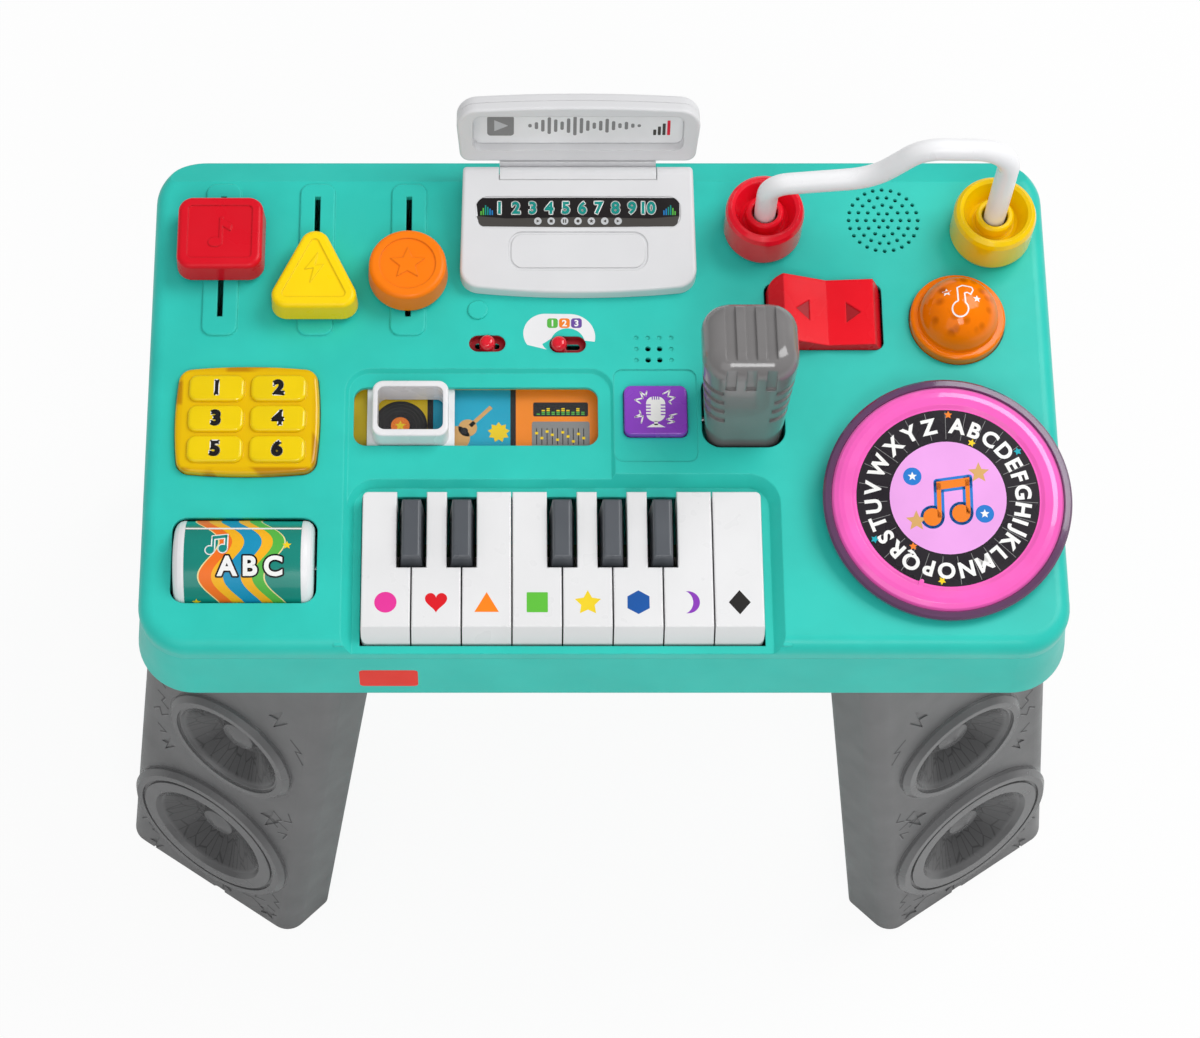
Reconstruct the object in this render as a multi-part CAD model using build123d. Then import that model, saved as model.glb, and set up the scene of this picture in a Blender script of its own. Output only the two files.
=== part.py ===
from build123d import *
import math
import os

# ------------------------------------------------------------------------------------------
# Musical activity table for toddlers.  Millimetres.  +Z is up, the floor is z = 0, the child
# plays from the -Y side, and the origin lies on the floor under the middle of the table.
# ------------------------------------------------------------------------------------------

# Fits and general moulding sizes
FIT = 0.05                      # radial running clearance of a shaft in its bore
EDGE_GAP = 0.4                  # gap between a moving piece and the edge of its opening
REST_GAP = 0.3                  # gap under or over a moving piece where it is carried
WALL = 2.5                      # moulded wall of the casings
AXLE_R = 2.0                    # steel axles of the drum, keys, rocker and microphone
BRACKET = 3.0                   # thickness of the bearing plates under the deck

# Casing
DECK_Z = 385.0                  # playing surface
TOP_HEIGHT = 14.0
CASE_HEIGHT = 55.0
SEAM_Z = DECK_Z - TOP_HEIGHT    # joint between the top and the bottom shell
RIM_Z = DECK_Z - CASE_HEIGHT    # underside of the table
TABLE_FRONT = -146.0
TABLE_BACK = 156.0
TOP_CORNER_R = 28.0
TOP_EDGE_R = 8.5                # round edge of the top shell
BEVEL_START = 139.0             # the back edge of the deck falls away from here
BEVEL_DROP = 9.0
SKIRT_INSET = 1.0               # the skirt starts this far inside the seam
SKIRT_FLARE = 5.5               # and spreads this much down to the rim


def above_deck(height):
    return DECK_Z + height


# Keyboard
OCTAVE = "WBWBWWBWBWBWW"        # white and black keys from left to right
KEY_COUNT = OCTAVE.count("W")
KEY_PITCH = 27.225
KEYS_LEFT = -131.5
KEYS_RIGHT = KEYS_LEFT + KEY_COUNT * KEY_PITCH
KEY_GAP = 0.8
KEY_BACK = -55.0
KEY_FRONT = -140.0
KEY_NOSE = 6.0                  # slant of the front face
KEY_NOSE_DROP = 10.0            # height of the slant
KEY_TOP_Z = above_deck(3.0)
KEY_BOTTOM_Z = above_deck(-13.0)
KEY_SKIN = 1.8
KEY_CORNER_R = 4.0
BLACK_WIDTH = 13.8
BLACK_NOTCH = 8.1               # half width of the notch for a black key
BLACK_FRONT = -98.0
BLACK_BACK = -60.0
BLACK_TOP_Z = above_deck(9.0)
BLACK_LEAN = 5.0                # draft of its sides, degrees
NOTCH_FRONT = -99.5
KEY_AXLE_Y = -48.0
KEY_AXLE_Z = above_deck(-14.0)
KEY_ARM_WHITE = 10.0
KEY_ARM_BLACK = 8.0
KEY_ARM_R = 4.2
KEY_POST_Y = -106.0             # plunger that presses the contact dome
KEY_POST_R = 3.0
KEY_POST_Z = above_deck(-18.0)

# Stepped bay round the keyboard and the picture window
BAY_MARGINS = (10.5, 10.7)      # left and right of the keys
BAY_LEFT = KEYS_LEFT - BAY_MARGINS[0]
BAY_KEYS_RIGHT = KEYS_RIGHT + BAY_MARGINS[1]
BAY_KEYS_BACK = -43.0
BAY_KEYS_DEPTH = 7.0
BAY_PICTURE_RIGHT = 7.0
BAY_PICTURE_BACK = 21.0
BAY_PICTURE_DEPTH = 2.5
BAY_CORNER_R = 12.0
BAY_SLOPE = 40.0                # lean of the bay's sides

# Electronics under the keys
BOARD_Z = above_deck(-33.0)
BOARD_THICK = 1.6
BOARD_REACH = 2.1               # it runs this far past the keys on each side
BOARD_WIDTH = KEYS_RIGHT - KEYS_LEFT + 2 * BOARD_REACH
BOARD_DEPTH = 58.0
BOARD_Y = -101.0
BOARD_POST_INSET = 24.0         # its posts stand clear of the leg sockets
BOARD_POST_EDGE = 6.0
BOARD_POST_R = 4.0
MEMBRANE_THICK = 1.5
DOME_R = 4.5
DOME_Z = above_deck(-22.4)
CHIP = 16.0
CHIP_PLACES = (-60.0, 10.0, 70.0)

# Sliders: track plates and their knobs
SLIDER_X = (-213.0, -159.7, -107.8)
TRACK_FRONT = 41.0
TRACK_BACK = 137.0
TRACK_WIDTH = 20.0
TRACK_RISE = 1.5
SLOT_FRONT = 52.5
SLOT_BACK = 128.5
SLOT_WIDTH = 3.2
STEM_WIDTH = 2.4
STEM_LENGTH = 14.0
SHANK_WIDTH = 13.0
SHANK_LENGTH = 22.0
KNOB_Z = above_deck(4.0)
KNOB_TOP_Z = above_deck(19.0)
KNOB_EDGE_R = 3.0
SQUARE_KNOB = (49.0, 46.0)
TRIANGLE_KNOB = (47.0, 50.0)
ROUND_KNOB_R = 22.25
KNOB_REST_Y = (97.0, 74.5, 77.0)
CLIP_WIDTH = 12.0
CLIP_LENGTH = 20.0
CLIP_THICK = 2.2
RELIEF = 0.8                    # depth of the raised emblems

# Play laptop
LAPTOP_X = -12.5
LAPTOP_WIDTH = 133.0
LAPTOP_FRONT = 64.7
LAPTOP_BOW = 4.0                # the front edge bows out by this much
LAPTOP_CORNER_R = 11.0
LAPTOP_EDGE_R = 2.0
LID_AXIS_Y = 131.0
LID_AXIS_Z = above_deck(18.5)
LID_KNUCKLE_R = 6.2
LAPTOP_SLOPE = 15.0
TONGUE_WIDTH = 88.0
PIN_R = 1.75
PIN_LENGTH = 118.0
LID_WIDTH = 138.0
LID_LEAN = 20.0                 # the open lid leans back this far
LID_LOW = 6.5                   # the lid starts this far above its pin
LID_HIGH = 45.5
LID_FACE = 6.6                  # the screen side lies this far behind the pin
LID_BEZEL_THICK = 6.5
LID_THICK = 15.0
LID_CORNER_R = 12.0
LID_CROWN = 3.0
LID_SKIN = 3.0
SCREEN_WIDTH = 118.0
SCREEN_LOW = 14.5
SCREEN_HIGH = 39.0
SCREEN_THICK = 1.2
NUMBER_STRIP = (115.0, 18.0, 0.6)
NUMBER_STRIP_Y = 109.0
TOUCHPAD = (78.0, 22.0, 0.6)
TOUCHPAD_Y = 87.5

# Small switches and the plug
PLUG_AT = (-68.7, 57.0)
PLUG_R = 5.75
POWER_AT = (-63.4, 36.4)
STAGE_AT = (-18.6, 35.8)
STAGE_REST = -4.8               # the knob rests this far left of the slot's middle
SWITCH_SLOT = (20.4, 10.2)
SWITCH_KNOB_R = 4.45
SWITCH_FLOOR_Z = above_deck(-4.0)
SWITCH_FLOOR = 1.6              # thickness of the pocket's floor
SWITCH_TOP_Z = above_deck(4.0)
SWITCH_STEM_R = 1.4
SWITCH_FOOT_R = 3.2

# Number panel
PANEL_AT = (-195.5, -12.2)
PANEL_SIZE = (79.8, 65.5)
PANEL_BOW = 2.2                 # its sides bulge by this much
PANEL_CORNER_R = 8.0
PANEL_TOP_Z = above_deck(4.5)
PANEL_SKIN = 2.2
PAD_SIZE = (31.0, 16.0)
PAD_PITCH = (34.2, 18.4)
PAD_RISE = 2.2
FLANGE = 2.4                    # lip that keeps a press button under the deck
FLANGE_THICK = 1.8

# Drum
DRUM_AT = (-194.9, -94.3)
DRUM_WINDOW = (79.0, 50.0)
DRUM_WINDOW_R = 8.0
DRUM_R = 26.0
DRUM_AXLE_Z = above_deck(-12.0)
DRUM_LABEL_WIDTH = 63.0
DRUM_CAP_WIDTH = 6.5
DRUM_CAP_R = 6.0
DRUM_SKIN = 2.0
DRUM_HUB_R = 4.5

# Picture window
WINDOW_AT = (-69.6, -7.3)
WINDOW_SIZE = (135.0, 35.4)
WINDOW_R = 7.0
TRAY_MARGIN = 5.0
TRAY_DEPTH = 8.0
TRAY_POCKET = 5.5
LENS_THICK = 1.5
VIEWER_REST = -36.0             # the viewer frame's middle from the window's middle
VIEWER_SIZE = (42.0, 33.6)
VIEWER_HOLE = (36.0, 26.0)
VIEWER_PLATE = (48.4, 39.6)
VIEWER_TOP_Z = above_deck(9.0)
VIEWER_R = 6.0

# Microphone button, its hole grid and the microphone
MIC_BUTTON_AT = (29.6, -5.7)
MIC_BUTTON = (34.8, 29.8)
MIC_BUTTON_R = 4.0
MIC_BUTTON_SKIN = 2.5
MIC_BUTTON_Z = above_deck(3.0)
MIC_PANEL = (46.0, 56.0, 0.8)   # shallow square frame round the button
MIC_GRID_AT = (29.3, 29.6)
MIC_GRID_PITCH = (6.5, 6.9)
SOUND_HOLE_R = 1.55
SOUND_DIMPLE_R = 1.25
MIC_AT = (78.0, -6.6)
MIC_FOOT = (41.2, 37.0)         # cross-section at the foot
MIC_FOOT_R = 10.0
MIC_FLARE = 4.2                 # it widens upwards by this many degrees on each side
MIC_FOOT_DROP = 6.0             # the foot ends this far below the axle
MIC_HEIGHT = 82.0               # from the axle to the crown
MIC_TOP_R = 12.0
MIC_LEAN = 10.0                 # it rests leaning back
MIC_HOLE = (46.0, 45.6)
MIC_HOLE_SHIFT = 2.2            # the leaning body crosses the deck behind its axle
MIC_HOLE_R = 10.5
MIC_AXLE_Z = above_deck(-8.0)
MIC_SKIN = 2.5
MIC_GROOVE = (5.6, 1.8, 22.0)   # width, depth, and how far they run down front and back
MIC_GROOVE_PITCH = 10.8
MIC_RIB = (26.0, 4.0, 1.7)      # length, width and depth of a groove round a side
MIC_RIB_START = 26.0            # the first one lies this far below the crown
MIC_RIB_PITCH = 9.0

# Rocker
ROCKER_AT = (124.6, 53.0)
ROCKER_SIZE = (64.0, 40.6)
ROCKER_TILT = 8.0
ROCKER_AXLE_Z = above_deck(-6.0)
ROCKER_VALLEY = 11.0            # height of the valley over the axle
ROCKER_CREST = (25.5, 16.5)     # where a wing is highest: from the middle, and over the axle
ROCKER_END = 6.0                # height of a wing's end, below its sloping face
ROCKER_ARROW = (10.3, 18.6)     # its base and its tip, from the middle
ROCKER_ARROW_HALF = 6.4         # half of its height
ROCKER_SKIN = 2.2
ROCKER_CORNER_R = 5.0

# Light dome
DOME_AT = (198.9, 50.0)
DOME_BASE_R = 26.5
DOME_SHELL_R = 22.5
DOME_STEP_Z = above_deck(6.5)
DOME_TOP_Z = above_deck(27.5)
DOME_SKIN = 2.0

# Record turntable
TURN_AT = (186.0, -64.8)
TURN_TILT = 8.0
TURN_FACE_Z = above_deck(18.0)
TURN_DISC_R = 62.8
TURN_RIM_WIDTH = 4.7            # smoky rim seen round the platter
TURN_RING_WIDTH = 12.4          # rounded ring round the label
TURN_RIM_R = TURN_DISC_R + TURN_RIM_WIDTH
TURN_LABEL_R = TURN_DISC_R - TURN_RING_WIDTH
TURN_DISC_THICK = 6.0
TURN_RIM_THICK = 8.0
PLINTH_INSET = 11.5             # the rim hangs this far over its plinth
PLINTH_R = TURN_RIM_R - PLINTH_INSET
PLINTH_DEPTH = 50.0             # its sides run this far down before the deck cuts them off
SPINDLE_R = 4.0

# Sides of the casing: the record's rim stands out over the right one
TURN_OVERHANG = 1.5
CASE_SIDE = TURN_AT[0] + TURN_RIM_R - TURN_OVERHANG
TABLE_WIDTH = 2 * CASE_SIDE     # across the seam

# Tube and its two cups
RED_AT = (91.9, 107.0)
YELLOW_AT = (220.4, 105.0)
TUBE_R = 6.0
TUBE_WALL = 1.8
TUBE_FOOT_Z = above_deck(-11.0)
TUBE_SHOULDER = (*RED_AT, above_deck(53.5))
TUBE_SADDLE = (148.0, 106.0, above_deck(64.0))
TUBE_CREST = (172.0, 105.4, above_deck(96.5))
TUBE_END = (*YELLOW_AT, above_deck(95.5))
TUBE_BENDS = (13.0, 34.0, 21.0, 20.0)
CUP_R = (22.0, 23.0)
CUP_TOP_Z = above_deck(28.0)
CUP_BORE_R = 7.3
CUP_COLLAR_R = 10.5
CUP_LIP_R = 3.0
CUP_FLOOR_Z = above_deck(15.0)

# Sound grille and its driver
GRILLE_AT = (160.7, 114.0)
GRILLE_HOLE_R = 1.1
GRILLE_PITCH = 4.9
GRILLE_RINGS = 4
DRIVER_R = 22.5
DRIVER_DEPTH = 16.0
MAGNET_R = 13.0

# Batteries
BATTERY_AT = (-10.0, 50.0)
CELL_R = 7.1
CELL_LENGTH = 50.0
CELL_TIP = 1.2
CELL_TIP_R = 2.6
CELL_COUNT = 3
CELL_PITCH = 15.0
BOX_CLEAR = 1.5
BOX_HEIGHT = 16.5
DOOR_LIP = 4.0
DOOR_SEAT = 1.2                 # the door's plate sinks this far into the bottom shell
DOOR_PROUD = 0.8                # and stands out of it by this much
DOOR_CORNER_R = 4.0
DOOR_SCREW_R = 1.5
DOOR_SCREW_LENGTH = 9.0

# Case screws
SCREW_PLACES = ((16.0 - CASE_SIDE, 34.0), (16.0 - CASE_SIDE, 132.0), (-147.5, -57.0),
                (27.0 - CASE_SIDE, -131.0), (112.0, -130.0), (CASE_SIDE - 14.0, 15.0),
                (CASE_SIDE - 14.0, 135.0), (CASE_SIDE - 27.0, -132.0))
POST_R = 4.5
BOSS_R = 6.0
BOSS_HEIGHT = 10.0
BOSS_FLOOR = 4.0                # material over the screw's head
BOSS_TOP_Z = RIM_Z + BOSS_HEIGHT
SCREW_R = 1.5
SCREW_HEAD_R = 3.0
SCREW_HEAD = 2.0
SCREW_CROSS = (0.8, 3.2)
SCREW_LENGTH = 14.0

# Legs: a four-cornered hollow moulding that leans in towards the table
LEG_OUTER = (-CASE_SIDE - 46.0, -122.0)  # corners on the floor, left front leg
LEG_TOE = (-CASE_SIDE + 61.5, -193.0)
LEG_INNER = (-CASE_SIDE + 88.0, -168.0)
LEG_HEEL = (-CASE_SIDE - 16.0, -90.0)
LEG_RADII = (12.0, 13.0, 5.0, 14.0)
LEG_LEAN = (42.0, 46.0)         # how far it moves in up to the rim
LEG_TENON = 11.0                # length of the leg inside its socket
LEG_TOP_Z = RIM_Z + LEG_TENON
LEG_FIT = 0.3
LOW_SPEAKER = (-1.0, 74.0, 56.5, 37.0)  # along, up, ring radius, cone radius
HIGH_SPEAKER = (5.5, 198.0, 43.0, 33.0)
SPEAKER_BULGE = 5.0
SPEAKER_DEPTH = 11.0
SPEAKER_CAP_R = 13.0
LEG_BOLTS = ((26.0, 38.0, 138.0), (20.0, -40.0, 8.0), (18.0, -38.0, 150.0), (24.0, 34.0, 262.0))
LEG_NOTES = ((20.0, 12.0, 6.0), (18.0, -30.0, 262.0))  # size, along, up
LEG_STARS = ((8.0, 46.0, 12.0),)

BIG = 400.0                     # longer than any piece, for cutting tools


# ------------------------------------------------------------------------------------------
# Shapes used by several pieces
# ------------------------------------------------------------------------------------------

def block(x_size, y_size, z0, z1, radius=0.0, at=(0.0, 0.0)):
    """Upright slab with rounded plan corners."""
    plan = RectangleRounded(x_size, y_size, radius) if radius > 0 else Rectangle(x_size, y_size)
    return Pos(at[0], at[1], z0) * extrude(plan, z1 - z0)


def bar(x0, x1, y0, y1, z0, z1):
    """Box between two corners."""
    return Pos((x0 + x1) / 2, (y0 + y1) / 2, (z0 + z1) / 2) * Box(x1 - x0, y1 - y0, z1 - z0)


def post(radius, z0, z1, at):
    """Upright cylinder."""
    return Pos(at[0], at[1], z0) * extrude(Circle(radius), z1 - z0)


def rod_x(radius, x0, x1, y, z):
    """Cylinder along X."""
    return Pos(x0, y, z) * Rot(0, 90, 0) * extrude(Circle(radius), x1 - x0)


def rod_y(radius, y0, y1, x, z):
    """Cylinder along Y."""
    return Pos(x, y0, z) * Rot(-90, 0, 0) * extrude(Circle(radius), y1 - y0)


def prism_x(outline, x0, x1):
    """Prism along X from an outline in Y and Z."""
    return Pos(x0, 0, 0) * extrude(Plane.YZ * outline, x1 - x0, dir=(1, 0, 0))


def prism_y(outline, y0, y1):
    """Prism along Y from an outline in X and Z."""
    return Pos(0, y0, 0) * extrude(Plane.XZ * outline, y1 - y0, dir=(0, 1, 0))


def outline(*points):
    """Straight-sided face through the given points, always facing up."""
    turn = sum(a[0] * b[1] - b[0] * a[1] for a, b in zip(points, points[1:] + points[:1]))
    ordered = points if turn > 0 else points[::-1]
    return Polygon(*ordered, align=None)


def turned(points):
    """Solid turned about Z from an outline in radius and height."""
    return revolve(Plane.XZ * outline(*points), Axis.Z)


def top_edges(solid):
    return solid.faces().sort_by(Axis.Z)[-1].edges()


def barrel(x_size, y_size, bow, radius):
    """Rectangle whose four sides bulge, with rounded corners."""
    a = x_size / 2 - bow
    b = y_size / 2 - bow
    edges = (ThreePointArc((-a, -b), (0, -b - bow), (a, -b)),
             ThreePointArc((a, -b), (a + bow, 0), (a, b)),
             ThreePointArc((a, b), (0, b + bow), (-a, b)),
             ThreePointArc((-a, b), (-a - bow, 0), (-a, -b)))
    face = make_face(Curve() + edges)
    return fillet(face.vertices(), radius)


def star(radius, waist=0.45, tips=5):
    """Star with one tip up."""
    points = []
    for step in range(2 * tips):
        angle = math.pi / 2 + step * math.pi / tips
        reach = radius if step % 2 == 0 else radius * waist
        points.append((reach * math.cos(angle), reach * math.sin(angle)))
    return outline(*points)


def bolt(size):
    """Lightning bolt, as high as size."""
    shape = ((0.10, 0.50), (-0.28, -0.06), (-0.02, -0.02), (-0.12, -0.50), (0.28, 0.10), (0.02, 0.06))
    return outline(*[(x * size, y * size) for x, y in shape])


def note(size):
    """Single musical note, as high as size."""
    head = Pos(-0.12 * size, -0.33 * size) * Ellipse(0.20 * size, 0.15 * size)
    stem = Pos(0.03 * size, 0.05 * size) * Rectangle(0.09 * size, 0.80 * size)
    flag = outline((0.0, 0.45 * size), (0.34 * size, 0.22 * size), (0.30 * size, 0.02 * size),
                   (0.0, 0.22 * size))
    return head + stem + flag


# ------------------------------------------------------------------------------------------
# Each station gives what it adds to the deck's underside and what it cuts out of the deck
# ------------------------------------------------------------------------------------------

UNDER_Z = DECK_Z - WALL


def key_edges():
    """The X places between the white keys."""
    return [KEYS_LEFT + KEY_PITCH * index for index in range(KEY_COUNT + 1)]


def bay_tool(x0, x1, y0, y1, depth, spread):
    """Cutting tool of one bay: flat floor, sides that lean outwards."""
    lean = depth * math.tan(math.radians(BAY_SLOPE))
    plan = RectangleRounded(x1 - x0 - 2 * lean + 2 * spread, y1 - y0 - 2 * lean + 2 * spread, BAY_CORNER_R)
    tool = extrude(plan, depth + 2 * WALL, taper=-BAY_SLOPE)
    return Pos((x0 + x1) / 2, (y0 + y1) / 2, DECK_Z - depth) * tool


def bays():
    """Two stepped bays: a deep one open to the front for the keys, a shallow one for the pictures."""
    front = TABLE_FRONT - 40.0
    keys = (BAY_LEFT, BAY_KEYS_RIGHT, front, BAY_KEYS_BACK, BAY_KEYS_DEPTH)
    picture = (BAY_LEFT, BAY_PICTURE_RIGHT, front, BAY_PICTURE_BACK, BAY_PICTURE_DEPTH)
    cuts = bay_tool(*keys, 0.0) + bay_tool(*picture, 0.0)
    under = Pos(0, 0, -WALL) * (bay_tool(*keys, WALL) + bay_tool(*picture, WALL))
    ceiling = bar(-BIG, BIG, TABLE_FRONT + WALL, BIG, SEAM_Z, DECK_Z - WALL / 2)
    return under & ceiling, cuts


def keyboard_station():
    """Well for the keys, with bearing plates for the axle behind it."""
    edges = key_edges()
    left = edges[0] - EDGE_GAP
    right = edges[-1] + EDGE_GAP
    floor = DECK_Z - BAY_KEYS_DEPTH
    plates = Part()
    for x in (left - BRACKET - 1.0, edges[3] - BRACKET / 2, edges[7] - BRACKET / 2, right + 1.0):
        plates += bar(x, x + BRACKET, KEY_AXLE_Y - 5.0, KEY_AXLE_Y + 5.0, KEY_AXLE_Z - 5.0, floor - WALL)
    bore = rod_x(AXLE_R + FIT, left - BRACKET - 2.0, right + BRACKET + 2.0, KEY_AXLE_Y, KEY_AXLE_Z)
    well = bar(left, right, KEY_FRONT - 1.4, KEY_BACK + 1.0, SEAM_Z - 10.0, DECK_Z + 10.0)
    return plates - bore, well + bore


def slider_station():
    """Raised track plates with a slot for each slider."""
    plates = Part()
    slots = Part()
    for x in SLIDER_X:
        length = TRACK_BACK - TRACK_FRONT
        middle = (TRACK_BACK + TRACK_FRONT) / 2
        plate = block(TRACK_WIDTH, length, DECK_Z - 1.0, DECK_Z + TRACK_RISE, 6.0, (x, middle))
        plates += fillet(top_edges(plate), 1.0)
        slot_middle = (SLOT_FRONT + SLOT_BACK) / 2
        slots += block(SLOT_WIDTH, SLOT_BACK - SLOT_FRONT, UNDER_Z - 2.0, DECK_Z + 5.0, 0, (x, slot_middle))
    return plates, slots


def switch_station(at):
    """Pocket with a narrow slot in its floor."""
    length, width = SWITCH_SLOT
    low = SWITCH_FLOOR_Z - SWITCH_FLOOR
    tub = Pos(at[0], at[1], low) * extrude(SlotOverall(length + 4, width + 4), UNDER_Z + 0.5 - low)
    pocket = Pos(at[0], at[1], SWITCH_FLOOR_Z) * extrude(SlotOverall(length, width), 10.0)
    slot = Pos(at[0], at[1], SWITCH_FLOOR_Z - 5) * extrude(SlotOverall(length - 4, 3.2), 10.0)
    return tub, pocket + slot


def panel_plan(grow):
    """Outline of the number panel, grown outwards by a margin."""
    return barrel(PANEL_SIZE[0] + 2 * grow, PANEL_SIZE[1] + 2 * grow, PANEL_BOW, PANEL_CORNER_R + grow)


def panel_station():
    return Part(), Pos(PANEL_AT[0], PANEL_AT[1], UNDER_Z - 2) * extrude(panel_plan(EDGE_GAP), 10.0)


def drum_station():
    """Window over the drum and the two plates that carry its axle."""
    x, y = DRUM_AT
    half = DRUM_WINDOW[0] / 2
    plates = Part()
    for x0 in (x - half - BRACKET, x + half):
        plates += bar(x0, x0 + BRACKET, y - 12, y + 12, DRUM_AXLE_Z - 8, UNDER_Z)
    hole = block(*DRUM_WINDOW, UNDER_Z - 2, DECK_Z + 5, DRUM_WINDOW_R, DRUM_AT)
    bore = rod_x(AXLE_R + FIT, x - half - BRACKET - 1, x + half + BRACKET + 1, y, DRUM_AXLE_Z)
    return plates - bore, hole + bore


def window_station():
    return Part(), block(*WINDOW_SIZE, UNDER_Z - 8, DECK_Z + 5, WINDOW_R, WINDOW_AT)


def mic_button_station():
    """Hole for the button, a shallow frame round it and the grid of sound holes behind it."""
    hole = block(MIC_BUTTON[0] + 2 * EDGE_GAP, MIC_BUTTON[1] + 2 * EDGE_GAP, UNDER_Z - 2, DECK_Z + 5,
                 MIC_BUTTON_R, MIC_BUTTON_AT)
    cuts = hole + block(MIC_PANEL[0], MIC_PANEL[1], DECK_Z - MIC_PANEL[2], DECK_Z + 5, 5.0,
                        (MIC_BUTTON_AT[0], MIC_BUTTON_AT[1] - 2.0))
    for column in range(4):
        for row in range(4):
            at = (MIC_GRID_AT[0] + (column - 1.5) * MIC_GRID_PITCH[0],
                  MIC_GRID_AT[1] + (row - 1.5) * MIC_GRID_PITCH[1])
            through = column in (1, 2) and row in (1, 2)
            if through:
                cuts += post(SOUND_HOLE_R, UNDER_Z - 1, DECK_Z + 1, at)
            else:
                cuts += post(SOUND_DIMPLE_R, DECK_Z - 0.8, DECK_Z + 1, at)
    return Part(), cuts


def mic_station():
    """Opening for the microphone's foot with bearing plates on both sides."""
    x, y = MIC_AT
    half = MIC_HOLE[0] / 2
    plates = Part()
    for x0 in (x - half - BRACKET, x + half):
        plates += bar(x0, x0 + BRACKET, y - 7, y + 7, MIC_AXLE_Z - 6, UNDER_Z)
    hole = block(*MIC_HOLE, UNDER_Z - 2, DECK_Z + 5, MIC_HOLE_R, (x, y + MIC_HOLE_SHIFT))
    bore = rod_x(AXLE_R + FIT, x - half - BRACKET - 1, x + half + BRACKET + 1, y, MIC_AXLE_Z)
    return plates - bore, hole + bore


def rocker_swing():
    """How far the top of a tipped rocker's end reaches from its middle."""
    tilt = math.radians(ROCKER_TILT)
    return ROCKER_SIZE[0] / 2 * math.cos(tilt) + ROCKER_END * math.sin(tilt)


def rocker_station():
    x, y = ROCKER_AT
    half = ROCKER_SIZE[1] / 2 + EDGE_GAP
    plates = Part()
    for y0 in (y - half - BRACKET, y + half):
        plates += bar(x - 8, x + 8, y0, y0 + BRACKET, ROCKER_AXLE_Z - 6, UNDER_Z)
    length = 2 * (rocker_swing() + EDGE_GAP)
    hole = block(length, 2 * half, UNDER_Z - 2, DECK_Z + 5, ROCKER_CORNER_R, ROCKER_AT)
    bore = rod_y(AXLE_R + FIT, y - half - BRACKET - 1, y + half + BRACKET + 1, x, ROCKER_AXLE_Z)
    return plates - bore, hole + bore


def dome_station():
    return Part(), post(DOME_BASE_R + EDGE_GAP, UNDER_Z - 2, DECK_Z + 5, DOME_AT)


def turn_frame():
    """Tilted frame of the record: origin in the middle of its face, Z along its spindle."""
    return Pos(TURN_AT[0], TURN_AT[1], TURN_FACE_Z) * Rot(TURN_TILT, 0, 0)


def plinth_station():
    """Hollow tilted plinth under the record, with a boss for the spindle."""
    top = -TURN_RIM_THICK - REST_GAP
    level = bar(-BIG, BIG, -BIG, BIG, DECK_Z - WALL / 2, DECK_Z + BIG)
    outer = turn_frame() * post(PLINTH_R, top - PLINTH_DEPTH, top, (0, 0)) & level
    inner = turn_frame() * post(PLINTH_R - WALL, top - PLINTH_DEPTH, top - WALL, (0, 0))
    boss = turn_frame() * post(SPINDLE_R + 3, top - 14, top - WALL / 2, (0, 0))
    bore = turn_frame() * post(SPINDLE_R + FIT, top - 12, top + 5, (0, 0))
    return (outer - inner) + boss, (inner - boss) + bore


def tube_station():
    """Collars under the deck that hold the tube's feet."""
    collars = Part()
    bores = Part()
    for at in (RED_AT, YELLOW_AT):
        collars += post(TUBE_R + 3, TUBE_FOOT_Z - WALL, UNDER_Z, at)
        bores += post(TUBE_R + FIT, TUBE_FOOT_Z - 0.1, DECK_Z + 1, at)
    return collars, bores


def grille_station():
    """Rings of small holes."""
    holes = post(GRILLE_HOLE_R, UNDER_Z - 1, DECK_Z + 1, GRILLE_AT)
    for ring in range(1, GRILLE_RINGS + 1):
        count = 6 * ring
        for index in range(count):
            angle = 2 * math.pi * index / count
            at = (GRILLE_AT[0] + ring * GRILLE_PITCH * math.cos(angle),
                  GRILLE_AT[1] + ring * GRILLE_PITCH * math.sin(angle))
            holes += post(GRILLE_HOLE_R, UNDER_Z - 1, DECK_Z + 1, at)
    return Part(), holes


def screw_posts():
    posts = Part()
    bores = Part()
    for at in SCREW_PLACES:
        posts += post(POST_R, BOSS_TOP_Z, UNDER_Z, at)
        bores += post(SCREW_R + FIT, BOSS_TOP_Z - 1, BOSS_TOP_Z + SCREW_LENGTH, at)
    return posts, bores


def plug_station():
    return Part(), post(PLUG_R - 1.5, UNDER_Z - 1, DECK_Z + 1, PLUG_AT)


def casing_top(inset):
    """The top panel's outside, or its inside when inset by a wall."""
    width = TABLE_WIDTH - 2 * inset
    depth = TABLE_BACK - TABLE_FRONT - 2 * inset
    middle = (TABLE_BACK + TABLE_FRONT) / 2
    low = SEAM_Z - inset
    blank = block(width, depth, low, DECK_Z - inset, TOP_CORNER_R - inset, (0, middle))
    blank = fillet(top_edges(blank), TOP_EDGE_R - inset)
    run = TABLE_BACK - BEVEL_START
    wedge = outline((BEVEL_START, DECK_Z - inset), (BEVEL_START + 2 * run, DECK_Z - inset - 2 * BEVEL_DROP),
                    (BEVEL_START + 2 * run, DECK_Z + 20), (BEVEL_START, DECK_Z + 20))
    return blank - prism_x(wedge, -BIG, BIG)


def top_shell():
    adds = []
    cuts = []
    stations = (bays(), keyboard_station(), slider_station(), switch_station(POWER_AT),
                switch_station(STAGE_AT), panel_station(), drum_station(), window_station(),
                mic_button_station(), mic_station(), rocker_station(), dome_station(), plinth_station(),
                tube_station(), grille_station(), screw_posts(), plug_station())
    shell = casing_top(0) - casing_top(WALL)
    for added, cut in stations:
        adds.append(added)
        cuts.append(cut)
    for added in adds:
        if added.solids():
            shell += added
    for cut in cuts:
        shell -= cut
    return shell


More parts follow.
